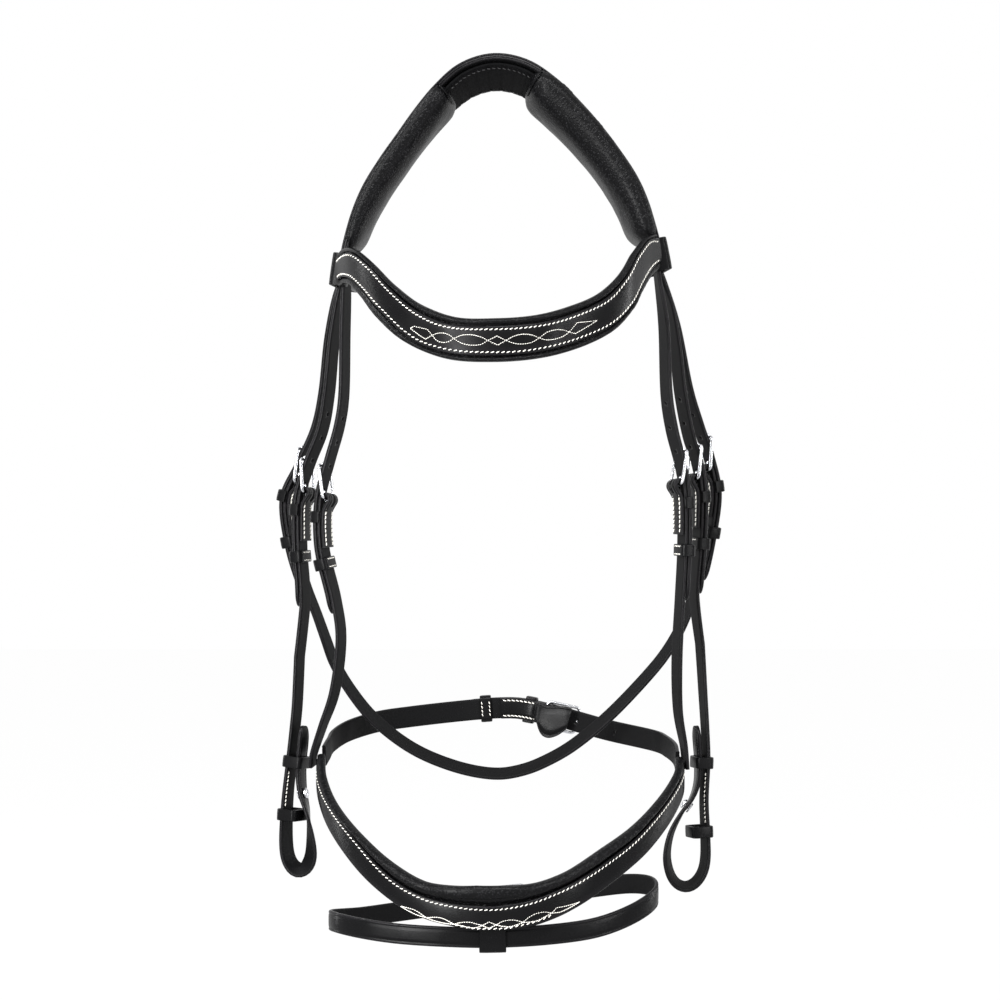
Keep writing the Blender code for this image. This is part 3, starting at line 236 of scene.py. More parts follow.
BROWBAND_ARCS: tuple[Line, ...] = (
    ((0.3708, -0.10), (0.3795, 0.06), (0.3919, 0.15), (0.4044, 0.12), (0.4137, 0.0)),
    ((0.3708, -0.10), (0.3813, -0.26), (0.3926, -0.29), (0.405, -0.19), (0.4137, 0.0)),
    ((0.4137, 0.0), (0.4287, 0.19), (0.4467, 0.24), (0.4661, 0.14), (0.4791, -0.02)),
    ((0.4137, 0.0), (0.4299, -0.17), (0.4474, -0.24), (0.4661, -0.20), (0.4791, -0.02)),
    ((0.5128, -0.04), (0.5283, 0.13), (0.5458, 0.19), (0.5632, 0.11), (0.5763, -0.07)),
    ((0.5128, -0.04), (0.5277, -0.19), (0.5427, -0.25), (0.5614, -0.22), (0.5763, -0.07)),
    ((0.5763, -0.07), (0.5931, 0.12), (0.6106, 0.15), (0.6268, 0.05), (0.638, -0.12)),
    ((0.5763, -0.07), (0.5888, -0.21), (0.6043, -0.26), (0.6236, -0.23), (0.638, -0.12)),
)
BROWBAND_CORNERS: tuple[Line, ...] = (
    ((0.3708, -0.1), (0.3564, 0.08), (0.3271, -0.05), (0.3209, -0.23), (0.3595, -0.39), (0.3708, -0.1)),
    ((0.4791, -0.02), (0.4966, 0.17), (0.5128, -0.04), (0.4978, -0.24), (0.4791, -0.02)),
    ((0.638, -0.12), (0.6604, 0.18), (0.7034, -0.08), (0.6492, -0.28), (0.638, -0.12)),
)
NOSEPIECE_EDGES: tuple[Line, Line] = (
    ((0.0, -0.97), (1.0, -0.97)),
    ((0.0, 0.30), (0.06, 0.48), (0.10, 0.62), (0.15, 0.70), (0.215, 0.62), (0.27, 0.42), (0.32, 0.24),
     (0.37, 0.22), (0.43, 0.13), (0.5, 0.10), (0.555, 0.22), (0.6, 0.32), (0.65, 0.34), (0.7, 0.30),
     (0.76, 0.33), (0.83, 0.46), (0.9, 0.50), (1.0, 0.42)),
)
NOSEPIECE_ROWS: tuple[Line, ...] = (
    ((0.03, 0.22), (0.06, 0.32), (0.10, 0.46), (0.15, 0.53), (0.215, 0.45), (0.27, 0.25), (0.32, 0.07),
     (0.37, 0.06), (0.43, -0.03), (0.5, -0.07), (0.555, 0.06), (0.6, 0.16), (0.65, 0.17), (0.7, 0.13),
     (0.76, 0.16), (0.83, 0.29), (0.9, 0.33), (0.97, 0.28)),
    ((0.4399, -0.89), (0.4548, -0.91), (0.4717, -0.92), (0.4928, -0.92), (0.5146, -0.92), (0.5234, -0.91),
     (0.5339, -0.86), (0.5651, -0.82), (0.5881, -0.76)),
)
NOSEPIECE_ARCS: tuple[Line, ...] = (
    ((0.3521, -0.88), (0.3708, -0.71), (0.3826, -0.74), (0.395, -0.88)),
    ((0.3521, -0.88), (0.3683, -0.90), (0.382, -0.91), (0.395, -0.88)),
    ((0.395, -0.88), (0.4075, -0.73), (0.4187, -0.70), (0.4281, -0.77), (0.4393, -0.88)),
    ((0.395, -0.88), (0.4063, -0.92), (0.4175, -0.93), (0.4287, -0.92), (0.4393, -0.88)),
    ((0.4393, -0.88), (0.4499, -0.73), (0.4629, -0.66), (0.4723, -0.71), (0.4822, -0.77)),
    ((0.4393, -0.88), (0.4505, -0.88), (0.4611, -0.91), (0.4717, -0.89), (0.4822, -0.77)),
    ((0.5034, -0.75), (0.5134, -0.60), (0.5252, -0.55), (0.5358, -0.61), (0.5439, -0.73)),
    ((0.5034, -0.75), (0.5128, -0.82), (0.5234, -0.86), (0.5339, -0.80), (0.5439, -0.73)),
    ((0.5439, -0.73), (0.5539, -0.54), (0.5651, -0.45), (0.5782, -0.49), (0.5881, -0.66)),
    ((0.5439, -0.73), (0.5526, -0.77), (0.5651, -0.80), (0.5763, -0.73), (0.5881, -0.66)),
)
NOSEPIECE_CORNERS: tuple[Line, ...] = (
    ((0.4822, -0.78), (0.4922, -0.61), (0.5034, -0.75), (0.4922, -0.90), (0.4822, -0.78)),
    ((0.5881, -0.66), (0.5981, -0.49), (0.6143, -0.62), (0.6361, -0.76), (0.618, -0.78), (0.6012, -0.78),
     (0.5881, -0.66)),
)

# Sections of the head pads in millimetres across and out of the crown strap; the front lobe wraps its edge.
OFF_PAD_SECTION = (
    (0, -2.7), (18, -2.7), (18.3, -5.5), (16, -9.8), (8, -12.4), (-4, -13.3), (-14, -13.3), (-20.5, -11.6),
    (-24.5, -7.8), (-25.6, -3), (-24.3, 0.7), (-22.4, 1.7), (-21.5, 0), (-21.4, -1.6), (-20.8, -2.7),
)
NEAR_PAD_SECTION = (
    (0, -2.7), (18, -2.7), (18.5, -6), (17, -12), (10, -15.4), (-2, -16.4), (-12, -16.5), (-19.5, -15.4),
    (-23.4, -12.6), (-26.4, -8.4), (-27.6, -4.6), (-25.6, -0.6), (-23.6, 2.0), (-22.1, 2.6), (-21.5, 1),
    (-21.4, -1.6), (-20.8, -2.7),
)
OFF_PAD_GIRTH: Line = ((0.0, 0.42), (0.12, 0.62), (0.3, 0.88), (0.5, 1.0), (0.85, 1.0), (1.0, 0.92))
NEAR_PAD_GIRTH: Line = ((0.0, 0.95), (0.12, 1.12), (0.4, 1.06), (0.7, 1.0), (0.86, 0.86), (1.0, 0.72))


class Side(Enum):
    """The horse's two sides, with the way in which their straps face."""

    OFF = -1
    NEAR = 1

    @property
    def stem(self) -> str:
        """The first word of this side's node names."""
        return self.name.lower()


class Finish(Enum):
    """The finishes that the bridle is made in."""

    BRIDLE = "bridle leather"
    NAPPA = "soft nappa leather"
    LINING = "matt lining leather"
    WHITE = "white waxed thread"
    BLACK = "black waxed thread"
    STEEL = "polished stainless steel"
    PAPER = "white paper"


def unit(vectors: np.ndarray) -> np.ndarray:
    """Vectors divided by their lengths."""
    return vectors / np.maximum(np.linalg.norm(vectors, axis=-1, keepdims=True), 1e-12)


def linear(hex_colour: str) -> tuple[float, float, float, float]:
    """Turn an sRGB hex colour to linear light.

    Args:
        hex_colour: Six hex digits after a hash.

    Returns:
        Linear red, green, blue and an alpha of one.
    """
    channels = np.array([int(hex_colour[i:i + 2], 16) for i in (1, 3, 5)]) / 255
    light = np.where(channels <= 0.04045, channels / 12.92, ((channels + 0.055) / 1.055) ** 2.4)
    return (*(float(value) for value in light), 1.0)


@dataclass
class Frames:
    """Places along a strap, one row each: a point and the directions along, across and out of it."""

    point: np.ndarray
    along: np.ndarray
    across: np.ndarray
    out: np.ndarray

    def carry(self, w: np.ndarray, n: np.ndarray) -> np.ndarray:
        """Carry a cross-section along: point + across * w + out * n at every place.

        Args:
            w: Distances across, one row a place or one row for all.
            n: Distances out, in the same form.

        Returns:
            A grid of points, places by section points by three.
        """
        w, n = np.broadcast_arrays(np.atleast_2d(w), np.atleast_2d(n))
        return self.point[:, None] + self.across[:, None] * w[..., None] + self.out[:, None] * n[..., None]

    def raised(self, level: float) -> np.ndarray:
        """The points moved outwards to a level."""
        return self.point + self.out * level


class Route:
    """A smooth line through listed rows, with a strap's directions at each length along it."""

    def __init__(self, rows: Rows, base: np.ndarray, turn: int, origin: np.ndarray | None = None) -> None:
        """Sight the rows from the camera and join them by a Catmull-Rom curve.

        Args:
            rows: Shares across, back and up, and a lean in degrees.
            base: The direction of the strap's width without its lean.
            turn: One or minus one, for the side that the outer face lies on.
            origin: The point that is taken off every place.
        """
        table = np.array(rows, dtype=float)
        share = SPAN / 1000
        depth = table[:, 1] * share
        spread = 1 + depth / EYE_DISTANCE
        height = (table[:, 2] * share + EYE_DROP) * spread - EYE_DROP
        knots = np.stack([table[:, 0] * share * spread, depth, height, np.radians(table[:, 3])], axis=1)
        curve = smooth_line(knots, ROUTE_STEPS)
        self.points = curve[:, :3] - (0 if origin is None else origin)
        self.leans = curve[:, 3]
        steps = np.linalg.norm(np.diff(self.points, axis=0), axis=1)
        self.lengths = np.concatenate([[0.0], np.cumsum(steps)])
        self.length = float(self.lengths[-1])
        self.base = base
        self.turn = turn

    def point(self, lengths: np.ndarray) -> np.ndarray:
        """Points at lengths along the line, run on straight past its ends.

        Args:
            lengths: Lengths from the line's start.

        Returns:
            One point a length.
        """
        lengths = np.asarray(lengths, dtype=float)
        inside = np.clip(lengths, 0, self.length)
        points = np.stack([np.interp(inside, self.lengths, self.points[:, i]) for i in range(3)], axis=-1)
        first = unit(self.points[1] - self.points[0])
        last = unit(self.points[-1] - self.points[-2])
        extra = (lengths - inside)[..., None]
        return points + np.where(extra < 0, extra * first, extra * last)

    def frames(self, lengths: np.ndarray) -> Frames:
        """The strap's frames at lengths: the width is the base direction, leant about the line.

        Args:
            lengths: Lengths from the line's start.

        Returns:
            One frame a length.
        """
        lengths = np.atleast_1d(np.asarray(lengths, dtype=float))
        along = unit(self.point(lengths + REACH) - self.point(lengths - REACH))
        lean = np.interp(lengths, self.lengths, self.leans)[:, None]
        flank = unit(np.cross(along, self.base)) * self.turn
        across = self.base * np.cos(lean) - flank * np.sin(lean)
        across = unit(across - along * np.sum(across * along, axis=1, keepdims=True))
        return Frames(self.point(lengths), along, across, np.cross(along, across) * self.turn)

    def seen_from(self, points: np.ndarray) -> tuple[np.ndarray, np.ndarray]:
        """Where points lie beside the strap, from the nearest of many places along it.

        Args:
            points: Any points near the strap.

        Returns:
            Distances across and distances out.
        """
        places = self.frames(spaced(0.0, self.length))
        nearest = np.argmin(np.sum((points[:, None] - places.point[None]) ** 2, axis=2), axis=1)
        offset = points - places.point[nearest]
        across, out = (np.sum(offset * part[nearest], axis=1) for part in (places.across, places.out))
        return across, out

    def path(self, lengths: np.ndarray, levels: np.ndarray) -> Frames:
        """The frames of a path beside the line, for straps that fold back or change their level.

        Args:
            lengths: Lengths along the line.
            levels: How far out of the line the path lies at each length.

        Returns:
            Frames whose along direction follows the path itself.
        """
        beside = self.frames(lengths)
        centres = beside.point + beside.out * np.asarray(levels)[:, None]
        along = unit(np.gradient(centres, axis=0))
        across = unit(beside.across - along * np.sum(beside.across * along, axis=1, keepdims=True))
        return Frames(centres, along, across, np.cross(along, across) * self.turn)


@dataclass
class Profile:
    """A strap's cross-section: which edge each point is measured from, how far in, and how far out."""

    side: np.ndarray
    inset: np.ndarray
    height: np.ndarray
    wear: np.ndarray
    flesh: np.ndarray

    def marks(self) -> dict[str, np.ndarray]:
        """The edges, painted lighter for scuffing and as a painted highlight, and the flesh side, as the
        attributes that the leather reads.
        """
        return {"wear": self.wear, "flesh": self.flesh}

    def sections(self, half_widths: np.ndarray, full: float) -> tuple[np.ndarray, np.ndarray]:
        """The section at each width: side * (half width - inset), with insets shrunk on narrow ends.

        Args:
            half_widths: Half the strap's width at each place.
            full: Half the strap's full width.

        Returns:
            Distances across and out, places by section points.
        """
        half = np.atleast_1d(half_widths)[:, None]
        scale = np.minimum(half / full, 1.0)
        height = np.broadcast_to(self.height, (len(half), self.height.size))
        return self.side * (half - self.inset * scale), height


def strap_profile(
    thickness: float, crease: float = CREASE, crown: float = 0.12 * MM, half: float = 6.5 * MM,
) -> Profile:
    """A strap with rounded edges, a creased line along each edge of its face and a slight crown.

    Args:
        thickness: The leather's thickness.
        crease: How far the creased line lies from the edge, or zero for none.
        crown: How far the middle of the face stands proud.
        half: Half the full width, which places the middle points.

    Returns:
        The cross-section, once round, starting at the back of one edge.
    """
    rounding, groove, dip, inner, outer = 0.95 * MM, 0.16 * MM, 0.20 * MM, 0.55 * MM, 0.45 * MM
    top = thickness / 2
    corner = min(rounding, top * 0.85)
    angles = np.radians([90, 62, 35, 12, -12, -35, -62, -90])
    rise = np.sign(angles) * (top - corner) + np.sin(angles) * corner
    # The third number of each point is how much of the lighter edge colour it takes: scuffing on the rounded
    # edge, and a painted highlight there and along the creased line.
    arc = [(corner * (1 - np.cos(angle)), height, 1.0) for angle, height in zip(angles, rise)]
    face = [(half, top + crown, 0.0), (half * 0.62, top + crown * 0.8, 0.0)]
    if crease:
        face += [
            (crease + inner, top + crown * 0.2, 0.0), (crease + groove, top - dip, 0.0),
            (crease - groove, top - dip, 0.2), (crease - outer, top, 0.3),
        ]
    back = [(corner * 2, -top, 0.2), (half * 0.6, -top, 0.0)]
    right = face + arc + back
    left = (face[1:] + arc + back)[::-1]
    points = [(1.0, *point) for point in right] + [(-1.0, *point) for point in left]
    side, inset, height, wear = np.array(points).T
    return Profile(side, inset, height, wear, (height < -0.7 * top).astype(float))


def spaced(start: float, end: float, step: float = STEP) -> np.ndarray:
    """Evenly spaced lengths from start to end, about a step apart."""
    return np.linspace(start, end, max(2, int(round(abs(end - start) / step)) + 1))


def to_tip(start: float, end: float) -> np.ndarray:
    """Lengths from start to the end of a blunt point, closer together on the point."""
    return np.concatenate([spaced(start, end - TIP_LENGTH), end - TIP_LENGTH * np.array(TIP_SHARES)])


def tip_shape(lengths: np.ndarray, end: float, full: float) -> np.ndarray:
    """Half-widths that keep the full one and run in to a blunt round point: a quarter of an ellipse."""
    left = np.clip(np.abs(end - lengths) / TIP_LENGTH, 0, 1)
    return full * (0.12 + 0.88 * np.sqrt(1 - (1 - left) ** 2))


def read_off(table: Line, shares: np.ndarray) -> np.ndarray:
    """The values at shares of a table of share and value pairs, on straight lines between its rows."""
    return np.interp(shares, *np.array(table).T)


def catmull_rom(knots: Iterable[np.ndarray], steps: int) -> np.ndarray:
    """A Catmull-Rom curve: half of 2b + (c - a)t + (2a - 5b + 4c - d)t^2 + (3b - a - 3c + d)t^3.

    Args:
        knots: The knots a, b, c and d, four arrays of one row a part; the curve runs from b to c.
        steps: The number of steps in a part, over which t runs from nought to one.

    Returns:
        The curve's points without the last one.
    """
    a, b, c, d = knots
    t = np.linspace(0, 1, steps, endpoint=False)[None, :, None]
    curve = 2 * b + (c - a) * t + (2 * a - 5 * b + 4 * c - d) * t**2 + (3 * b - a - 3 * c + d) * t**3
    return curve.reshape(-1, b.shape[-1]) / 2


def smooth_loop(points: np.ndarray, steps: int) -> np.ndarray:
    """A closed curve through points, with a number of steps between each two."""
    return catmull_rom((np.roll(points, 1 - i, axis=0)[:, None] for i in range(4)), steps)


def smooth_line(points: np.ndarray, steps: int) -> np.ndarray:
    """An open curve through points, with a number of steps between each two."""
    padded = np.vstack([2 * points[:1] - points[1:2], points, 2 * points[-1:] - points[-2:-1]])
    knots = (padded[i:len(padded) - 3 + i, None] for i in range(4))
    return np.vstack([catmull_rom(knots, steps), points[-1:]])


def rings(right: np.ndarray, up: np.ndarray, sides: int, flat: float = 1.0) -> np.ndarray:
    """Circles of radius one at every place: right * cos + up * sin * flat, at even angles."""
    angle = np.linspace(0, 2 * np.pi, sides, endpoint=False)[:, None]
    return right[:, None] * np.cos(angle) + up[:, None] * np.sin(angle) * flat


def grid_faces(rows: int, columns: int, closed_rows: bool) -> np.ndarray:
    """The quads of a grid whose columns close on themselves.

    Args:
        rows: Places along.
        columns: Points round the section.
        closed_rows: Whether the last place joins the first.

    Returns:
        Four vertex numbers a face.
    """
    last = rows if closed_rows else rows - 1
    i, j = np.meshgrid(np.arange(last), np.arange(columns), indexing="ij")
    below = (i + 1) % rows
    beside = (j + 1) % columns
    corners = (i * columns + j, i * columns + beside, below * columns + beside, below * columns + j)
    return np.stack(corners, axis=-1).reshape(-1, 4)


def signed_volume(points: np.ndarray, quads: np.ndarray) -> float:
    """Six times the volume inside quads, positive where they face outwards."""
    centred = points - points.mean(axis=0)
    a, b, c, d = (centred[quads[:, i]] for i in range(4))
    return float(np.sum(np.cross(b - a, c - a) * a) + np.sum(np.cross(c - a, d - a) * a))


def new_mesh(
    name: str, points: np.ndarray, faces: list[list[int]], marks: dict[str, np.ndarray] | None = None,
) -> bpy.types.Object:
    """Put points and faces into a new object at the origin.

    Args:
        name: The object's name.
        points: Its points.
        faces: Vertex numbers, one list a face.
        marks: Attributes by name, one number a point.

    Returns:
        The object, smooth but for its sharp edges.
    """
    mesh = bpy.data.meshes.new(name)
    mesh.from_pydata(points.tolist(), [], faces)
    mesh.shade_smooth()
    mesh.set_sharp_from_angle(angle=np.radians(SHARP_ANGLE))
    for mark, values in (marks or {}).items():
        layer = mesh.attributes.new(mark, "FLOAT", "POINT")
        layer.data.foreach_set("value", values.astype(np.float32).ravel())
    item = bpy.data.objects.new(name, mesh)
    bpy.context.scene.collection.objects.link(item)
    return item


def skin(
    name: str, grid: np.ndarray, marks: dict[str, np.ndarray] | None = None, closed: bool = False,
) -> bpy.types.Object:
    """Make a closed surface through a grid of sections, capped at its ends unless it closes on itself.

    Args:
        name: The object's name.
        grid: Places by section points by three.
        marks: Attributes by name, one number a point of the section or of the grid.
        closed: Whether the last section joins the first.

    Returns:
        The object, with its faces pointing outwards.
    """
    rows, columns = grid.shape[:2]
    points = grid.reshape(-1, 3)
    quads = grid_faces(rows, columns, closed)
    flip = signed_volume(points, quads) < 0
    if flip:
        quads = quads[:, ::-1]
    faces = quads.tolist()
    if not closed:
        first = np.arange(columns)
        last = first + (rows - 1) * columns
        order = 1 if flip else -1
        faces += [first[::order].tolist(), last[::-order].tolist()]
    spread = {mark: np.broadcast_to(values, (rows, columns)) for mark, values in (marks or {}).items()}
    return new_mesh(name, points, faces, spread)


def copies(name: str, grids: np.ndarray) -> bpy.types.Object:
    """Make one object of many alike capped grids.

    Args:
        name: The object's name.
        grids: Copies by places by section points by three.

    Returns:
        The object, with its faces pointing outwards.
    """
    count, rows, columns = grids.shape[:3]
    size = rows * columns
    quads = grid_faces(rows, columns, False)
    caps = np.stack([np.arange(columns)[::-1], np.arange(columns) + size - columns])
    if signed_volume(grids[0].reshape(-1, 3), quads) < 0:
        quads, caps = quads[:, ::-1], caps[:, ::-1]
    offsets = (np.arange(count) * size)[:, None, None]
    faces = (quads[None] + offsets).reshape(-1, 4).tolist()
    faces += (caps[None] + offsets).reshape(-1, columns).tolist()
    return new_mesh(name, grids.reshape(-1, 3), faces)


def cut(item: bpy.types.Object, cutter: bpy.types.Object) -> None:
    """Take a cutter's shape out of an object and remove the cutter."""
    modifier = item.modifiers.new("cut", "BOOLEAN")
    modifier.operation = "DIFFERENCE"
    modifier.object = cutter
    baked(item)
    bpy.data.objects.remove(cutter, do_unlink=True)


def turned(centre: Frames, outline: np.ndarray, sides: int) -> np.ndarray:
    """Turn an outline about the out direction: point + out * height + a circle of the radius.

    Args:
        centre: One place a copy, whose out direction is the axis.
        outline: Radius and height pairs.
        sides: Points round the circle.

    Returns:
        Copies by outline points by sides by three.
    """
    ring = rings(centre.along, centre.across, sides)
    radius = outline[None, :, 0, None, None]
    height = outline[None, :, 1, None, None]
    return centre.point[:, None, None] + ring[:, None] * radius + centre.out[:, None, None] * height


def tube(
    points: np.ndarray, normal: np.ndarray, radii: np.ndarray | float, sides: int, flat: float = 1.0,
) -> np.ndarray:
    """Carry a circle along a line: point + side * r cos + normal * r sin.

    Args:
        points: The line's points.
        normal: A direction across the line, for all its points or for each.
        radii: The radius at each point, or one for all.
        sides: Points round the circle.
        flat: The share of the radius that is kept along the normal.

    Returns:
        A grid of points by sides by three.
    """
    along = unit(np.gradient(points, axis=0))
    side = unit(np.cross(along, normal))
    ring = rings(side, np.cross(side, along), sides, flat)
    return points[:, None] + ring * np.broadcast_to(radii, len(points))[:, None, None]


def resampled(points: np.ndarray, pitch: float) -> tuple[np.ndarray, np.ndarray]:
    """Divide a line evenly.

    Args:
        points: The line's points, of any number of columns.
        pitch: The wanted distance between two places.

    Returns:
        The middles of the parts, and the directions of the line there.
    """
    lengths = np.concatenate([[0.0], np.cumsum(np.linalg.norm(np.diff(points, axis=0), axis=1))])
    count = max(1, int(round(lengths[-1] / pitch)))
    middles = (np.arange(count) + 0.5) * lengths[-1] / count
    at, before, after = (
        np.stack([np.interp(middles + shift, lengths, column) for column in points.T], axis=1)
        for shift in (0.0, -pitch / 3, pitch / 3)
    )
    return at, unit(after - before)


def baked(item: bpy.types.Object) -> None:
    """Put what an object's modifiers make into its mesh, and take them off."""
    graph = bpy.context.evaluated_depsgraph_get()
    mesh = bpy.data.meshes.new_from_object(item.evaluated_get(graph))
    item.modifiers.clear()
    item.data = mesh


def points_of(item: bpy.types.Object) -> np.ndarray:
    """An object's points, one row each."""
    points = np.empty(len(item.data.vertices) * 3)
    item.data.vertices.foreach_get("co", points)
    return points.reshape(-1, 3)


def swollen(item: bpy.types.Object, held: Callable[[np.ndarray], np.ndarray]) -> None:
    """Swell a padded cover: cloth with air inside, held where it is sewn, with its movement capped.

    A point at p that the cloth carries to q ends at p + (q - p) * min(1, cap / |q - p|).

    Args:
        item: The cover, a little smaller than the finished pad.
        held: Which of the given points are sewn down.
    """
    remesh = item.modifiers.new("remesh", "REMESH")
    remesh.mode = "VOXEL"
    remesh.voxel_size = COVER_VOXEL
    baked(item)
    before = points_of(item)
    group = item.vertex_groups.new(name="sewn")
    group.add(np.flatnonzero(held(before)).tolist(), 1.0, "REPLACE")
    cloth = item.modifiers.new("cover", "CLOTH")
    cloth.settings.quality = 6
    cloth.settings.tension_stiffness = COVER_STIFFNESS
    cloth.settings.compression_stiffness = COVER_STIFFNESS
    cloth.settings.bending_stiffness = 0.4
    cloth.settings.use_pressure = True
    cloth.settings.uniform_pressure_force = COVER_PRESSURE
    cloth.settings.effector_weights.gravity = 0.0
    cloth.settings.vertex_group_mass = group.name
    cloth.point_cache.frame_start, cloth.point_cache.frame_end = 1, COVER_FRAMES
    for frame in range(1, COVER_FRAMES + 1):
        bpy.context.scene.frame_set(frame)
    baked(item)
    moved = points_of(item) - before
    far = np.linalg.norm(moved, axis=1, keepdims=True)
    points = before + moved * np.minimum(1.0, COVER_CAP / np.maximum(far, 1e-9))
    item.data.vertices.foreach_set("co", points.ravel())
    item.vertex_groups.clear()
    smooth = item.modifiers.new("even", "SMOOTH")
    smooth.factor, smooth.iterations = 0.5, 4
    finer = item.modifiers.new("finer", "SUBSURF")
    finer.levels = finer.render_levels = 1
    baked(item)
    item.data.shade_smooth()
    bpy.context.scene.frame_set(1)
    LOG.info("%s: swollen by up to %.1f mm", item.name, float(far.max()) / MM)


@dataclass(frozen=True)
class Levels:
    """How far the layers at a buckle lie from the route, which runs in the middle of the billet."""

    main: float = -(BILLET_THICKNESS / 2 + GAP + STRAP_THICKNESS / 2)
    radius: float = BAR_RADIUS + BAND_GAP + STRAP_THICKNESS / 2

    @property
    def heel(self) -> float:
        """The bar that the strap is folded round."""
        return self.main - self.radius

    @property
    def returning(self) -> float:
        """The strap's end, folded back under itself."""
        return self.main - STRAP_THICKNESS - LAYER_GAP

    @property
    def rest(self) -> float:
        """The frame's free end, over the billet."""
        return BILLET_THICKNESS / 2 + GAP + BAR_RADIUS

    @property
    def tip(self) -> float:
        """The tongue's tip, over the frame's free end."""
        return self.rest + BAR_RADIUS + GAP + TONGUE_RADIUS


LEVELS = Levels()


def fold_line(heel: float) -> np.ndarray:
    """Length and level pairs of a strap's end, from its folded-back tip round the bar to its face."""
    r = LEVELS.radius
    angle = np.radians([-65, -40, -20, 0, 20, 40, 65])
    knots = [(heel + FOLD_LENGTH, LEVELS.returning), (heel + FOLD_LENGTH * 0.6, LEVELS.returning)]
    knots += [(heel + 3 * r, LEVELS.returning), (heel + r / 2, LEVELS.heel - r)]
    knots += [(heel - r * np.cos(a), LEVELS.heel + r * np.sin(a)) for a in angle]
    knots += [(heel + r / 4, LEVELS.main), (heel + r * 1.6, LEVELS.main)]
    return smooth_line(np.array(knots), 4)


@dataclass
class Bench:
    """Where pieces are dressed: each gets its finish, its body and the solids that it stands for."""

    finishes: dict[Finish, bpy.types.Material]

    def dress(
        self, item: bpy.types.Object, finish: Finish, body: str, *nodes: str, fill: float | None = None,
    ) -> None:
        """Give a piece its finish and its body.

        Args:
            item: The piece.
            finish: What it is made of.
            body: The moving body that it rides on.
            nodes: The solids that it stands for.
            fill: How tightly it is padded, where it is padded; not used.
        """
        item.data.materials.clear()
        item.data.materials.append(self.finishes[finish])
        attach(item, body)
        if nodes:
            item.name = nodes[0] + "_dressed"
            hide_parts(*nodes)
        LOG.info("%s: %s, on %s, %d faces", item.name, finish.value, body, len(item.data.polygons))

    def loop(self, name: str, grid: np.ndarray, body: str, solid: bool = True) -> None:
        """Make a leather loop that closes on itself.

        Args:
            name: The loop's name, and its solid's.
            grid: Places round the loop by profile points by three.
            body: The body that it rides on.
            solid: Whether it has a solid of its name.
        """
        self.dress(skin(name, grid, closed=True), Finish.BRIDLE, body, *([name] if solid else []))

    def sew(
        self, name: str, places: Frames, length: float, body: str, finish: Finish = Finish.WHITE,
        radius: float = 0.36 * MM, slant: float = 16.0,
    ) -> None:
        """Sew a row of slanted stitches, each a short bowed thread whose ends dip into the leather.

        Args:
            name: The row's name.
            places: The stitches' middles on the leather's face.
            length: One stitch's length.
            body: The body that the row rides on.
            finish: The thread.
            radius: The thread's radius.
            slant: How far each stitch is turned from the row, in degrees.
        """
        share = np.array((-1.0, -0.72, 0.0, 0.72, 1.0))
        girth = np.array((0.55, 0.95, 1.0, 0.95, 0.55)) * radius
        height = radius * np.array((-0.9, 0.15, 0.5, 0.15, -0.9))
        lean = np.radians(slant)
        run = places.along * np.cos(lean) + places.across * np.sin(lean)
        side = unit(np.cross(run, places.out))
        middle = places.point[:, None] + run[:, None] * (share * length / 2)[None, :, None]
        middle = middle + places.out[:, None] * height[None, :, None]
        ring = rings(side, places.out, 6)
        grids = middle[:, :, None] + ring[:, None] * girth[None, :, None, None]
        self.dress(copies(name, grids), finish, body)


def seam(
    route: Route, knots: np.ndarray, level: float | Callable[[np.ndarray], np.ndarray], pitch: float,
    smooth: bool,
) -> Frames:
    """Places of the stitches along a line drawn on a strap's face.

    Args:
        route: The strap's route.
        knots: Length and across pairs.
        level: How far out of the route the face lies.
        pitch: The distance between two stitches.
        smooth: Whether the line is curved through its knots.

    Returns:
        One frame a stitch, with its along direction on the line.
    """
    middles, heading = resampled(smooth_line(knots, 8) if smooth else knots, pitch)
    places = route.frames(middles[:, 0])
    raised = level(middles[:, 0])[:, None] if callable(level) else level
    point = places.point + places.across * middles[:, 1:2] + places.out * raised
    along = unit(places.along * heading[:, :1] + places.across * heading[:, 1:2])
    return Frames(point, along, unit(np.cross(places.out, along)), places.out)


def inner_row(route: Route, start: float, end: float, across: float, level: float, pitch: float) -> Frames:
    """Places of the stitches of a straight row on a strap's inner face.

    Args:
        route: The strap's route.
        start: The length at which the row starts.
        end: The length at which it ends.
        across: How far it lies from the middle.
        level: How far out of the route the face lies.
        pitch: The distance between two stitches.

    Returns:
        One frame a stitch, facing inwards.
    """
    row = seam(route, np.array([(start, across), (end, across)]), level, pitch, smooth=False)
    return Frames(row.point, row.along, row.across, -row.out)


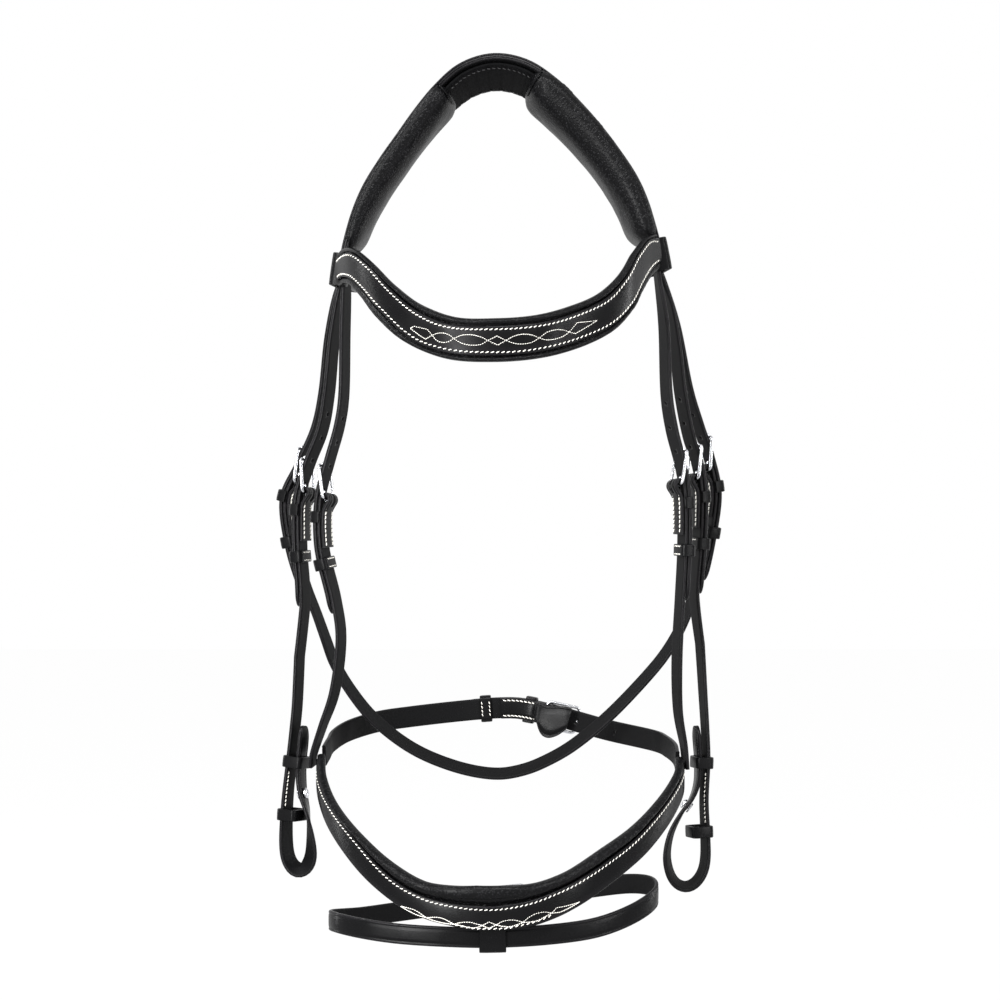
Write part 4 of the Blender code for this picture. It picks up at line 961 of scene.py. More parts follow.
def band_loop(
    place: Frames, half: float, low: float, high: float, reach: float = KEEPER_REACH,
    thickness: float = KEEPER_THICKNESS, inner: float = 1.0,
) -> np.ndarray:
    """A leather loop round a strap: a small rounded profile carried round a rounded rectangle.

    Args:
        place: The loop's single place on the strap.
        half: Half the room inside, across.
        low: The inside of its inner run.
        high: The inside of its outer run.
        reach: Its extent along the strap.
        thickness: The leather's thickness.
        inner: The share of the thickness that the inner run keeps.

    Returns:
        A grid of places round the loop by profile points by three.
    """
    angle = np.radians(np.concatenate([np.linspace(a, a + 90, 7) for a in (0, 90, 180, 270)]))
    sign_w = np.repeat((1.0, -1.0, -1.0, 1.0), 7)
    sign_n = np.repeat((1.0, 1.0, -1.0, -1.0), 7)
    middle = (low + high) / 2
    rise = (high - low) / 2
    corner = min(LOOP_CORNER, rise * 0.9)
    w = sign_w * (half - corner) + np.cos(angle) * corner
    n = middle + sign_n * (rise - corner) + np.sin(angle) * corner
    full = np.where(np.sin(angle) < -0.5, inner, 1.0) * thickness
    bend = np.radians([-60, -20, 20, 60])
    edge = thickness * 0.42
    outward = np.concatenate([[0.0, 0.0], 0.5 + 0.5 * np.sin(bend), [1.0, 1.0], 0.5 - 0.5 * np.sin(bend)])
    ends = reach / 2 - edge + edge * np.cos(bend)
    u = np.concatenate([[-reach / 4, reach / 4], ends, [reach / 4, -reach / 4], -ends])
    v = full[:, None] * outward[None, :]
    across = w[:, None] + np.cos(angle)[:, None] * v
    out = n[:, None] + np.sin(angle)[:, None] * v
    grid = place.point[0] + place.across[0] * across[..., None] + place.out[0] * out[..., None]
    return grid + place.along[0] * u[None, :, None]


def fill(tree: bpy.types.NodeTree, node: bpy.types.Node, values: dict[str | int, object]) -> bpy.types.Node:
    """Fill a node's inputs.

    Args:
        tree: The material's nodes.
        node: The node.
        values: Input names or numbers, each with a value or an output to link.

    Returns:
        The node.
    """
    for key, value in values.items():
        if isinstance(value, bpy.types.NodeSocket):
            tree.links.new(value, node.inputs[key])
        else:
            node.inputs[key].default_value = value
    return node


def add_node(
    tree: bpy.types.NodeTree, kind: str, values: dict[str | int, object] | None = None, **settings: object,
) -> bpy.types.Node:
    """Add a node with its settings, and fill or link its inputs.

    Args:
        tree: The material's nodes.
        kind: The node's type, without its leading ShaderNode.
        values: Input names or numbers, each with a value or an output to link.
        settings: The node's own settings.

    Returns:
        The node.
    """
    node = tree.nodes.new("ShaderNode" + kind)
    for key, value in settings.items():
        setattr(node, key, value)
    return fill(tree, node, values or {})


def blank_material(name: str) -> tuple[bpy.types.Material, bpy.types.NodeTree, bpy.types.Node]:
    """A new material with its nodes and its Principled shader."""
    made = bpy.data.materials.new(name)
    made.use_nodes = True
    return made, made.node_tree, made.node_tree.nodes["Principled BSDF"]


@dataclass(frozen=True)
class BridleLeather:
    """Vegetable-tanned bridle leather, curried and waxed: near black, with a close grain and soft highlights.

    Grain and pore are the sizes of its cells and pores in millimetres, and clouds are the patches a metre
    over which its polish changes. Edges are bevelled and scuffed, and they are painted a little greyer,
    partly for that scuffing and partly as a painted highlight along the edges and creased lines. The flesh
    side is rougher, with short fibres.
    """

    name: str = "bridle_leather"
    colour: str = "#0a0a0b"
    # The lighter edge colour: scuffing, and a painted highlight on edges and creased lines.
    worn_and_highlit: str = "#1a191b"
    flesh: str = "#080809"
    grain: float = 0.7
    pore: float = 0.25
    clouds: float = 60.0
    roughness: float = 0.28
    gloss: float = 0.09

    def build(self) -> bpy.types.Material:
        """Make the material."""
        made, tree, shader = blank_material(self.name)
        where = add_node(tree, "TexCoord").outputs["Object"]
        edge = add_node(tree, "Attribute", attribute_name="wear").outputs["Fac"]
        flesh = add_node(tree, "Attribute", attribute_name="flesh").outputs["Fac"]
        cells = add_node(tree, "TexVoronoi", {"Vector": where, "Scale": 1 / (self.grain * MM)},
                         feature="F1").outputs["Distance"]
        pores = add_node(tree, "TexNoise", {
            "Vector": where, "Scale": 1 / (self.pore * MM), "Detail": 2.0,
        }).outputs["Fac"]
        cloud = add_node(tree, "TexNoise", {
            "Vector": where, "Scale": self.clouds, "Detail": 3.0,
        }).outputs["Fac"]
        # The edges take the lighter colour in patches: scuffing, and a painted highlight along the edges and
        # creased lines.
        rubbed_and_highlit = add_node(tree, "Math", {0: edge, 1: cloud}, operation="MULTIPLY").outputs[0]
        body = add_node(tree, "Mix", {"Factor": rubbed_and_highlit, "A": linear(self.colour), "B": linear(self.worn_and_highlit)},
                        data_type="RGBA").outputs["Result"]
        colour = add_node(tree, "Mix", {"Factor": flesh, "A": body, "B": linear(self.flesh)},
                          data_type="RGBA").outputs["Result"]
        smooth = add_node(tree, "MapRange", {
            "Value": cloud, "From Min": 0.3, "From Max": 0.7, "To Min": self.roughness - 0.06,
            "To Max": self.roughness + 0.08,
        })
        rough = add_node(tree, "Mix", {"Factor": flesh, "A": smooth.outputs[0], "B": 0.62}).outputs["Result"]
        height = add_node(tree, "Math", {0: pores, 1: 0.35, 2: cells}, operation="MULTIPLY_ADD").outputs[0]
        bump = add_node(tree, "Bump", {"Strength": 0.22, "Distance": 0.1 * MM, "Height": height})
        fill(tree, shader, {
            "Base Color": colour, "Roughness": rough, "Specular IOR Level": self.gloss,
            "Normal": bump.outputs[0],
        })
        return made


@dataclass(frozen=True)
class NappaLeather:
    """Drum-dyed soft leather over foam: black, with round pebbles that catch the light one by one.

    Pebble is their size in millimetres. They are drifted by up to drift, over lengths of wander, in
    millimetres, so that they don't lie in rows. The pebbles' tops are painted a little lighter than the
    hollows, a painted highlight on each pebble.
    """

    name: str = "soft_pebbled_leather"
    colour: str = "#09090a"
    # The pebble tops' colour, lighter than the hollows: a painted highlight.
    highlit_crest: str = "#131315"
    pebble: float = 1.5
    wander: float = 4.0
    drift: float = 1.2
    roughness: float = 0.33
    gloss: float = 0.09

    def build(self) -> bpy.types.Material:
        """Make the material."""
        made, tree, shader = blank_material(self.name)
        where = add_node(tree, "TexCoord").outputs["Object"]
        drift = add_node(tree, "TexNoise", {"Vector": where, "Scale": 1 / (self.wander * MM), "Detail": 2.0})
        bent = add_node(tree, "VectorMath", {0: drift.outputs["Color"], 1: (self.drift * MM,) * 3, 2: where},
                        operation="MULTIPLY_ADD").outputs[0]
        cells = add_node(tree, "TexVoronoi", {
            "Vector": bent, "Scale": 1 / (self.pebble * MM), "Smoothness": 0.35,
        }, feature="SMOOTH_F1").outputs["Distance"]
        # How near each point lies to a pebble's top: the tops get the painted highlight colour, and the bump
        # raises them.
        highlit_crest = add_node(tree, "MapRange", {
            "Value": cells, "From Min": 0.1, "From Max": 0.5, "To Min": 1.0, "To Max": 0.0,
        }).outputs[0]
        colour = add_node(tree, "Mix", {"Factor": highlit_crest, "A": linear(self.colour), "B": linear(self.highlit_crest)},
                          data_type="RGBA").outputs["Result"]
        bump = add_node(tree, "Bump", {"Strength": 0.8, "Distance": 0.24 * MM, "Height": highlit_crest})
        fill(tree, shader, {
            "Base Color": colour, "Roughness": self.roughness, "Specular IOR Level": self.gloss,
            "Normal": bump.outputs[0],
        })
        return made


@dataclass(frozen=True)
class WaxedThread:
    """Waxed polyester saddler's thread: its two plies show as slanting ridges.

    Ridges is the scale of the wave texture. Its ridges lie 2 pi / (10 * ridges * sqrt 3) metres apart,
    which is 0.6 mm.
    """

    name: str
    colour: str
    # The darker colour painted into the grooves between the plies: painted shade.
    shade: str
    ridges: float = 620.0

    def build(self) -> bpy.types.Material:
        """Make the material."""
        made, tree, shader = blank_material(self.name)
        where = add_node(tree, "TexCoord").outputs["Object"]
        plies = add_node(tree, "TexWave", {
            "Vector": where, "Scale": self.ridges, "Distortion": 1.0, "Detail": 1.0,
        }, bands_direction="DIAGONAL").outputs["Fac"]
        # The grooves between the plies are painted in the darker colour, as painted shade.
        colour = add_node(tree, "Mix", {"Factor": plies, "A": linear(self.shade), "B": linear(self.colour)},
                          data_type="RGBA").outputs["Result"]
        bump = add_node(tree, "Bump", {"Strength": 0.5, "Distance": 0.08 * MM, "Height": plies})
        fill(tree, shader, {"Base Color": colour, "Roughness": 0.5, "Normal": bump.outputs[0]})
        return made


@dataclass(frozen=True)
class PolishedSteel:
    """Cast stainless steel, buffed to a mirror: bright, with faint polishing waves.

    Wave is the size of these waves in millimetres.
    """

    name: str = "polished_stainless_steel"
    colour: str = "#d3d4d8"
    wave: float = 2.0

    def build(self) -> bpy.types.Material:
        """Make the material."""
        made, tree, shader = blank_material(self.name)
        where = add_node(tree, "TexCoord").outputs["Object"]
        waves = add_node(tree, "TexNoise", {
            "Vector": where, "Scale": 1 / (self.wave * MM), "Detail": 3.0,
        }).outputs["Fac"]
        rough = add_node(tree, "MapRange", {
            "Value": waves, "From Min": 0.35, "From Max": 0.7, "To Min": 0.1, "To Max": 0.24,
        }).outputs[0]
        bump = add_node(tree, "Bump", {"Strength": 0.12, "Distance": 0.2 * MM, "Height": waves})
        fill(tree, shader, {
            "Base Color": linear(self.colour), "Metallic": 1.0, "Roughness": rough, "Normal": bump.outputs[0],
        })
        return made


@dataclass
class Buckled:
    """A billet, the strap that it is buckled to, the buckle and the keepers."""

    stem: str
    body: str
    route: Route
    heel: float
    width: float
    past_bar: float = BILLET_PAST_BAR
    round_top: bool = True
    fixed_node: bool = True
    slot_half: float = 1.4 * MM
    slot_reach: float = 4.8 * MM
    frame_room: float = 0.6 * MM
    frame_corner: float = 2.6 * MM
    frame_step: float = 0.9 * MM

    def billet(self, bench: Bench) -> None:
        """The billet, round at its top, punched, and run in to a blunt point past its buckle."""
        end = self.heel + self.past_bar
        half = self.width / 2
        top = -half * np.cos(np.radians([2, 20, 40, 60])) if self.round_top else np.zeros(0)
        stops = np.concatenate([top, to_tip(0.0, end)])
        rounded = np.sqrt(np.maximum(half**2 - np.minimum(stops, 0) ** 2, (half / 8) ** 2))
        profile = strap_profile(BILLET_THICKNESS, half=half)
        w, n = profile.sections(np.where(stops < 0, rounded, tip_shape(stops, end, half)), half)
        name = self.stem + "_billet"
        item = skin(name, self.route.frames(stops).carry(w, n), profile.marks())
        holes = self.heel - HOLE_ABOVE_BAR - np.arange(HOLE_COUNT) * HOLE_PITCH
        punch = np.array([(HOLE_RADIUS, -3 * MM), (HOLE_RADIUS, 3 * MM)])
        cut(item, copies("punch", turned(self.route.frames(holes), punch, 20)))
        bench.dress(item, Finish.BRIDLE, self.body, name)

    def slot(self) -> bpy.types.Object:
        """A cutter for the fold, where the tongue turns on the bar."""
        place = self.route.frames(self.heel)
        corners = np.array(((-1, -1), (1, -1), (1, 1), (-1, 1))) * (self.slot_half, self.slot_reach)
        foot = place.point + place.across * corners[:, :1] + place.along * corners[:, 1:]
        levels = LEVELS.returning - 5 * MM, LEVELS.main + 4 * MM
        return skin("slot", np.array([foot + place.out * level for level in levels]))

    def strap(
        self, bench: Bench, name: str, stops: np.ndarray, levels: np.ndarray, halves: np.ndarray,
    ) -> None:
        """The strap that is folded round the bar and runs on.

        Args:
            bench: Where pieces are dressed.
            name: The piece's name.
            stops: Lengths along the route past the fold.
            levels: The strap's level at each.
            halves: Half its width at each.
        """
        fold = fold_line(self.heel)
        half = self.width / 2
        lengths = np.concatenate([fold[:, 0], stops])
        level = np.concatenate([fold[:, 1], levels])
        wide = np.concatenate([np.full(len(fold), half), halves])
        profile = strap_profile(STRAP_THICKNESS, half=half)
        w, n = profile.sections(wide, half)
        item = skin(name, self.route.path(lengths, level).carry(w, n), profile.marks())
        cut(item, self.slot())
        bench.dress(item, Finish.BRIDLE, self.body, name)

    def buckle(self, bench: Bench) -> None:
        """The frame, a rounded rectangle of oval bar, and the tongue, an eye that runs out to a blunt tip."""
        low, high = self.route.frames(self.heel), self.route.frames(self.heel - FRAME_LENGTH)
        foot, head = low.raised(LEVELS.heel)[0], high.raised(LEVELS.rest)[0]
        rise = unit(head - foot)
        across = unit(low.across[0] - rise * (low.across[0] @ rise))
        half = self.width / 2 + self.frame_room + BAR_RADIUS
        length = float(np.linalg.norm(head - foot))
        corner = self.frame_corner
        angle = np.radians(np.concatenate([np.linspace(a, a - 90, 8) for a in (270, 180, 90, 0)]))
        sign_w = np.repeat((-1.0, -1.0, 1.0, 1.0), 8)
        sign_v = np.repeat((0.0, 1.0, 1.0, 0.0), 8)
        w = sign_w * (half - corner) + np.cos(angle) * corner
        v = np.where(sign_v > 0, length - corner, corner) + np.sin(angle) * corner
        line = foot + across * w[:, None] + rise * v[:, None]
        even = resampled(np.vstack([line, line[:1]]), self.frame_step)[0]
        wrapped = np.vstack([even[-2:], even, even[:2]])
        grid = tube(wrapped, np.cross(across, rise), BAR_RADIUS, 16, 0.9)[2:-2]
        name = self.stem + "_buckle_frame"
        bench.dress(skin(name, grid, closed=True), Finish.STEEL, name, name)
        eye = BAR_RADIUS + GAP + TONGUE_RADIUS
        turns = np.radians([-200, -160, -120, -80, -40, 0, 42])
        knots = [(eye * np.sin(a), LEVELS.heel + eye * np.cos(a)) for a in turns]
        clear = BILLET_THICKNESS / 2 + TONGUE_RADIUS
        knots += [(HOLE_ABOVE_BAR * 0.78, -clear), (HOLE_ABOVE_BAR * 1.24, clear + GAP),
                  (FRAME_LENGTH * 0.66, LEVELS.tip * 0.86), (FRAME_LENGTH, LEVELS.tip),
                  (FRAME_LENGTH + 2 * BAR_RADIUS, LEVELS.tip - TONGUE_RADIUS / 2)]
        back, level = smooth_line(np.array(knots), 6).T
        beside = self.route.frames(self.heel - np.maximum(back, 0))
        straight = low.point[0] - low.along[0] * back[:, None]
        base = np.where(back[:, None] > 0, beside.point, straight)
        points = base + np.where(back[:, None] > 0, beside.out, low.out) * level[:, None]
        share = np.linspace(0, 1, len(points))
        radii = TONGUE_RADIUS * np.where(share > 0.97, 0.7, 1.0)
        name = self.stem + "_buckle_tongue"
        bench.dress(skin(name, tube(points, low.across[0], radii, 12)), Finish.STEEL, name, name)

    def keepers(self, bench: Bench) -> None:
        """The fixed keeper, sewn between the folded layers, and the runner below it."""
        half = self.width / 2 + GAP
        under = LEVELS.main - STRAP_THICKNESS / 2
        place = self.route.frames(self.heel + FIXED_KEEPER_AT)
        grid = band_loop(place, half, under - LAYER_GAP / 2, BILLET_THICKNESS / 2 + GAP, inner=0.12)
        bench.loop(self.stem + "_fixed_keeper", grid, self.body, self.fixed_node)
        place = self.route.frames(self.heel + RUNNER_AT)
        grid = band_loop(place, half, under - BAND_GAP, BILLET_THICKNESS / 2 + BAND_GAP)
        bench.loop(self.stem + "_runner", grid, self.stem + "_runner")
        self.runner_stitches(bench, place, under - BAND_GAP - KEEPER_THICKNESS)

    def runner_stitches(self, bench: Bench, place: Frames, level: float) -> None:
        """White stitches along both borders of the runner's inner run, where its ends are joined."""
        border, spread = 2.5 * MM, self.width / (13 * MM)
        w = np.array((-3.6, -1.2, 1.2, 3.6)) * MM * spread
        four = [np.repeat(row, 4, axis=0) for row in (place.across, place.along, -place.out)]
        body = self.stem + "_runner"
        for name, along in (("upper", -border), ("lower", border)):
            point = place.point + place.along * along + place.across * w[:, None] + place.out * level
            bench.sew(f"{body}_{name}_stitches", Frames(point, *four), 1.9 * MM, body, radius=0.3 * MM)

    def chape_stitches(self, bench: Bench) -> None:
        """A column of stitches along each edge of the folded-back end, on its inner face."""
        level = LEVELS.returning - STRAP_THICKNESS / 2
        start, end = self.heel + 5 * MM, self.heel + FOLD_LENGTH - 1 * MM
        for name, sign in (("front", -1), ("rear", 1)):
            row = inner_row(self.route, start, end, sign * (self.width / 2 - CREASE), level, 2.9 * MM)
            bench.sew(f"{self.stem}_{name}_chape_stitches", row, 2.4 * MM, self.body)

    def build_fittings(self, bench: Bench) -> None:
        """The billet, buckle, keepers and stitching."""
        self.billet(bench)
        self.buckle(bench)
        self.keepers(bench)
        self.chape_stitches(bench)


@dataclass(frozen=True)
class Pad:
    """A head pad: where it runs along the crown strap, its section and how its girth changes.

    The section and its anchor, which stays in place as the girth changes, are in millimetres.
    """

    name: str
    share: tuple[float, float]
    section: Line
    girth: Line
    anchor: tuple[float, float] = (-6.0, -2.7)
    rounding: float = 13.0 * MM
    piping_inset: float = 4.5 * MM
    piping_radius: float = 0.55 * MM

    def grid(self, route: Route, slack: float = 1.0) -> np.ndarray:
        """The cover: anchor + (section - anchor) * girth, drawn in to nothing over its rounded ends.

        Args:
            route: The crown strap's route.
            slack: The share of its full size that the cover is cut to.

        Returns:
            Places by section points by three.
        """
        start, end = (share * route.length for share in self.share)
        slope = np.linspace(0, np.pi, 90)
        part = (1 - np.cos(slope)) / 2
        left = np.clip(np.minimum(part, 1 - part) * (end - start) / self.rounding, 0.003, 1)
        swell = np.sqrt(1 - (1 - left) ** 2)[:, None]
        girth = read_off(self.girth, part)[:, None] * slack
        loop = smooth_loop(np.array(self.section), 5)
        middle, level = self.anchor
        fuller = np.where(loop[:, 1] < level, girth, slack)
        w = middle + (loop[:, 0] - middle) * (0.35 + 0.65 * swell) * (1 - (1 - slack) / 2)
        n = level + (loop[:, 1] - level) * fuller * swell
        return route.frames(start + part * (end - start)).carry(w * MM, n * MM)

    def piping(self, route: Route) -> np.ndarray:
        """The corded seam round the pad's upper end: a thin tube on its section, a little inside the end."""
        start, end = (share * route.length for share in self.share)
        inset = self.piping_inset
        length = end - inset if start < route.length / 4 else start + inset
        left = inset / self.rounding
        swell = np.sqrt(1 - (1 - min(left, 1.0)) ** 2)
        loop = smooth_loop(np.array(self.section), 5)
        front = loop[loop[:, 0] < -2.0]
        front = front[np.argsort(np.unwrap(np.arctan2(front[:, 1] + 6, front[:, 0] + 14)))]
        place = route.frames(np.full(len(front), length))
        w = self.anchor[0] + (front[:, 0] - self.anchor[0]) * (0.35 + 0.65 * swell) * 1.01
        n = self.anchor[1] + (front[:, 1] - self.anchor[1]) * swell * 1.01
        points = place.point + place.across * (w * MM)[:, None] + place.out * (n * MM)[:, None]
        return tube(points, place.along[0], self.piping_radius, 10)


@dataclass
class Headpiece:
    """The layered crown strap, its quilted lining and the rolled pad on each side."""

    route: Route
    lining_half: float = 19.0 * MM
    lining_share: tuple[float, float] = (0.385, 0.600)
    channel_pitch: float = 9.0 * MM
    channel_width: float = 1.1 * MM
    seam_at: float = 15.5 * MM
    off_pad: Pad = Pad("off_head_pad", (0.018, 0.405), OFF_PAD_SECTION, OFF_PAD_GIRTH)
    near_pad: Pad = Pad("near_head_pad", (0.578, 1.0), NEAR_PAD_SECTION, NEAR_PAD_GIRTH)

    def crown(self, bench: Bench) -> None:
        """The strap: three layers whose edges show, with a creased line along the face.

        The section's points are millimetres outwards from the edge and out of the strap.
        """
        edge = [(-0.9, 2.25), (-0.25, 1.95), (0.0, 1.5), (-0.1, 1.0), (-0.75, 0.78), (-0.1, 0.55), (0.0, 0.0),
                (-0.1, -0.55), (-0.75, -0.78), (-0.1, -1.0), (0.0, -1.5), (-0.25, -1.95), (-0.9, -2.25)]
        face = [(-21.0, 2.4), (-8.0, 2.38), (-3.3, 2.25), (-2.9, 2.0), (-2.6, 2.0), (-2.2, 2.25)]
        right = np.array(face + edge + [(-8.0, -2.25)]) * MM
        w = np.concatenate([CROWN_HALF + right[:, 0], -(CROWN_HALF + right[:0:-1, 0])])
        n = np.concatenate([right[:, 1], right[:0:-1, 1]])
        # The outer 1.2 mm of each side takes the lighter edge colour: scuffed layer edges, with a painted
        # highlight on them.
        wear = (np.abs(w) > CROWN_HALF - 1.2 * MM).astype(float)
        grid = self.route.frames(spaced(0.0, self.route.length, 3 * MM)).carry(w, n)
        marks = {"wear": wear, "flesh": (n < -2.0 * MM).astype(float)}
        bench.dress(skin("crown_strap", grid, marks), Finish.BRIDLE, "headpiece", "crown_strap")

    def pad(self, bench: Bench, pad: Pad) -> None:
        """One head pad: its cover swollen by air, sewn down along the crown strap, and its piped end."""
        slack = 0.95
        item = skin(pad.name, pad.grid(self.route, slack))

        def held(points: np.ndarray) -> np.ndarray:
            """Where the cover lies on the crown strap."""
            across, out = self.route.seen_from(points)
            return (out > -3.6 * MM) & (np.abs(across) < CROWN_HALF + 1.5 * MM)

        swollen(item, held)
        bench.dress(item, Finish.NAPPA, "headpiece", pad.name, fill=0.7)
        ring = skin(pad.name + "_piping", pad.piping(self.route))
        bench.dress(ring, Finish.BRIDLE, "headpiece")

    def lining(self, bench: Bench) -> None:
        """The lining under the poll: a flat cushion quilted across by sewn channels.

        Its section is a superellipse, |w|^3 + |n|^3 = 1. Its depth dips by a third at each channel, as
        exp(-(distance / width)^2).
        """
        start, end = (share * self.route.length for share in self.lining_share)
        stops = spaced(start, end, 0.8 * MM)
        phase = np.abs((stops - (start + end) / 2) / self.channel_pitch % 1 - 0.5)
        channel = np.exp(-((0.5 - phase) * self.channel_pitch / self.channel_width) ** 2)
        left = np.clip(np.minimum(stops - start, end - stops) / (3 * MM), 0.01, 1)
        swell = np.sqrt(1 - (1 - left) ** 2)[:, None]
        angle = np.linspace(0, 2 * np.pi, 56, endpoint=False)
        w, n = (np.sign(wave) * np.abs(wave) ** (2 / 3) for wave in (np.cos(angle), np.sin(angle)))
        top = -(CROWN_THICKNESS / 2 + LAYER_GAP)
        depth = LINING_THICKNESS * swell * np.where(n < 0, 1 - 0.34 * channel[:, None], 1.0)
        middle = top - LINING_THICKNESS / 2
        grid = self.route.frames(stops).carry(self.lining_half * w, middle + depth / 2 * n)
        bench.dress(skin("crown_lining", grid), Finish.LINING, "headpiece", "crown_lining", fill=0.7)
        level = top - LINING_THICKNESS * 0.86
        for name, across in (("front", -self.seam_at), ("rear", self.seam_at)):
            row = inner_row(self.route, start + 6 * MM, end - 6 * MM, across, level, 3.4 * MM)
            bench.sew(f"lining_{name}_stitches", row, 2.6 * MM, "headpiece", Finish.BLACK)

    def build(self, bench: Bench) -> None:
        """Make the headpiece's pieces."""
        self.crown(bench)
        self.lining(bench)
        for pad in (self.off_pad, self.near_pad):
            self.pad(bench, pad)


@dataclass
class PaddedBand:
    """A padded band with a leather face sewn into its hollow: the browband or the nosepiece."""

    name: str
    body: str
    route: Route
    height: float
    depth: float
    face: float
    height_shares: Line
    depth_shares: Line
    profile: Line
    edges: tuple[Line, Line]
    stitch_rows: tuple[Line, ...]
    arcs: tuple[Line, ...]
    corners: tuple[Line, ...]
    hollow: tuple[float, float]
    floor: float = 0.1
    swell: tuple[float, float] | None = None

    def half(self, lengths: np.ndarray) -> np.ndarray:
        """Half the band's height at lengths along it."""
        return self.height / 2 * read_off(self.height_shares, lengths / self.route.length)

    def thick(self, lengths: np.ndarray) -> np.ndarray:
        """Half the padding's depth at lengths along it."""
        return self.depth / 2 * read_off(self.depth_shares, lengths / self.route.length)

    def top(self, lengths: np.ndarray) -> np.ndarray:
        """The level of the face's outer side at lengths along the band."""
        return self.thick(lengths) * self.floor + BAND_GAP + self.face

    def edge(self, lengths: np.ndarray) -> tuple[np.ndarray, np.ndarray]:
        """The shares of the half-height at which the face's lower and upper edges lie."""
        low, high = (read_off(line, lengths / self.route.length) for line in self.edges)
        return low, high

    def warped(self, share: np.ndarray, lengths: np.ndarray) -> np.ndarray:
        """Move a section's shares so that its hollow ends just outside the face's edges.

        Between the hollow's two ends a share runs from edge to edge in proportion, and beyond them it runs
        from the edge to the band's own edge in proportion.

        Args:
            share: Shares of the half-height, one a section point.
            lengths: Lengths along the band.

        Returns:
            Shares, places by section points.
        """
        low, high = (edge[:, None] for edge in self.edge(lengths))
        low, high = np.maximum(low - 0.04, -0.97), high + 0.05
        first, last = self.hollow
        inside = low + (share - first) / (last - first) * (high - low)
        above = high + (share - last) / (1 - last) * (1 - high)
        below = low + (share - first) / (-1 - first) * (-1 - low)
        return np.where(share > last, above, np.where(share < first, below, inside))

    def padding(self, bench: Bench) -> None:
        """The padding: the profile's shares times half the height and depth, puckered at each stitch."""
        stops = spaced(BAND_GAP, self.route.length - BAND_GAP, 1.6 * MM)
        loop = smooth_loop(np.array(self.profile), 3)
        share = np.where(loop[:, 1] > 0, self.warped(loop[:, 0], stops), loop[:, 0])
        pucker, ripple = 0.025 * np.sin(2 * np.pi * stops / (6.4 * MM)), 0.02 * np.sin(stops / (5 * MM))
        puckered = loop[:, 1] * (1 + pucker[:, None] + ripple[:, None])
        raised = np.where(loop[:, 1] > 0.3, puckered, loop[:, 1])
        half, thick = self.half(stops)[:, None], self.thick(stops)[:, None]
        item = skin(self.name + "_padding", self.route.frames(stops).carry(share * half, raised * thick))
        bench.dress(item, Finish.NAPPA, self.body, self.name + "_padding", fill=0.8)

    def facing(self, bench: Bench) -> None:
        """The face: a strap with a slight crown, from its lower to its upper edge."""
        stops = spaced(BAND_GAP, self.route.length - BAND_GAP, STEP)
        low, high = self.edge(stops)
        full = float(np.max((high - low) / 2 * self.half(stops)))
        profile = strap_profile(self.face, 0.0, 0.3 * MM, full)
        w, n = profile.sections((high - low) / 2 * self.half(stops), full)
        w = w + ((high + low) / 2 * self.half(stops))[:, None]
        n = n + (self.top(stops) - self.face / 2)[:, None]
        item = skin(self.name + "_face", self.route.frames(stops).carry(w, n), profile.marks())
        bench.dress(item, Finish.BRIDLE, self.body, self.name + "_face")

    def line(self, knots: Line, pitch: float, smooth: bool) -> Frames:
        """Stitch places along a line given as shares of the band's length and half height."""
        table = np.array(knots)
        lengths = table[:, 0] * self.route.length
        drawn = np.stack([lengths, table[:, 1] * self.half(lengths)], axis=1)
        return seam(self.route, drawn, self.top, pitch, smooth)

    def roll(self, bench: Bench) -> None:
        """The swollen middle of the padding's upper edge: an ellipse that shrinks to nothing at both ends.

        Its size is (1 - x squared) to the power 0.6, with x from -1 to 1 along it.
        """
        start, end = (share * self.route.length for share in self.swell)
        stops = spaced(start, end, 0.8 * MM)
        size = np.maximum(1 - np.linspace(-1, 1, len(stops)) ** 2, 0.003)[:, None] ** 0.6
        turn = np.linspace(0, 2 * np.pi, 24, endpoint=False)
        w = (self.half(stops) - 3.6 * MM)[:, None] + 4.2 * MM * size * np.cos(turn)
        n = (self.thick(stops) + 0.4 * MM)[:, None] + 2.6 * MM * size * np.sin(turn)
        item = skin(self.name + "_roll", self.route.frames(stops).carry(w, n))
        bench.dress(item, Finish.NAPPA, self.body, fill=0.8)

    def build(self, bench: Bench) -> None:
        """Make the padding, the face and the sewing."""
        self.padding(bench)
        self.facing(bench)
        if self.swell:
            self.roll(bench)
        for name, smooth, lines, pitch, length, radius, slant in (
            ("stitches", True, self.stitch_rows, 3.0 * MM, 2.4 * MM, 0.31 * MM, 20.0),
            ("arc", True, self.arcs, 1.35 * MM, 1.5 * MM, 0.27 * MM, 9.0),
            ("corner", False, self.corners, 1.35 * MM, 1.5 * MM, 0.27 * MM, 9.0),
        ):
            for number, knots in enumerate(lines):
                row = f"{self.name}_{name}_{number}"
                bench.sew(row, self.line(knots, pitch, smooth), length, self.body, radius=radius, slant=slant)


@dataclass
class BrowbandLoops:
    """The loop at each end of the browband, which the headpiece's straps run through."""

    routes: dict[Side, Route]
    room: float = 1.2 * MM
    reach: float = 21.0 * MM
    thickness: float = 2.2 * MM

    def build(self, bench: Bench) -> None:
        """Make both loops."""
        for side, route in self.routes.items():
            place = route.frames(route.length / 2)
            rise = CROWN_THICKNESS / 2 + self.room
            grid = band_loop(place, CROWN_HALF + self.room, -rise, rise, self.reach, self.thickness)
            bench.loop(side.stem + "_browband_loop", grid, "browband")


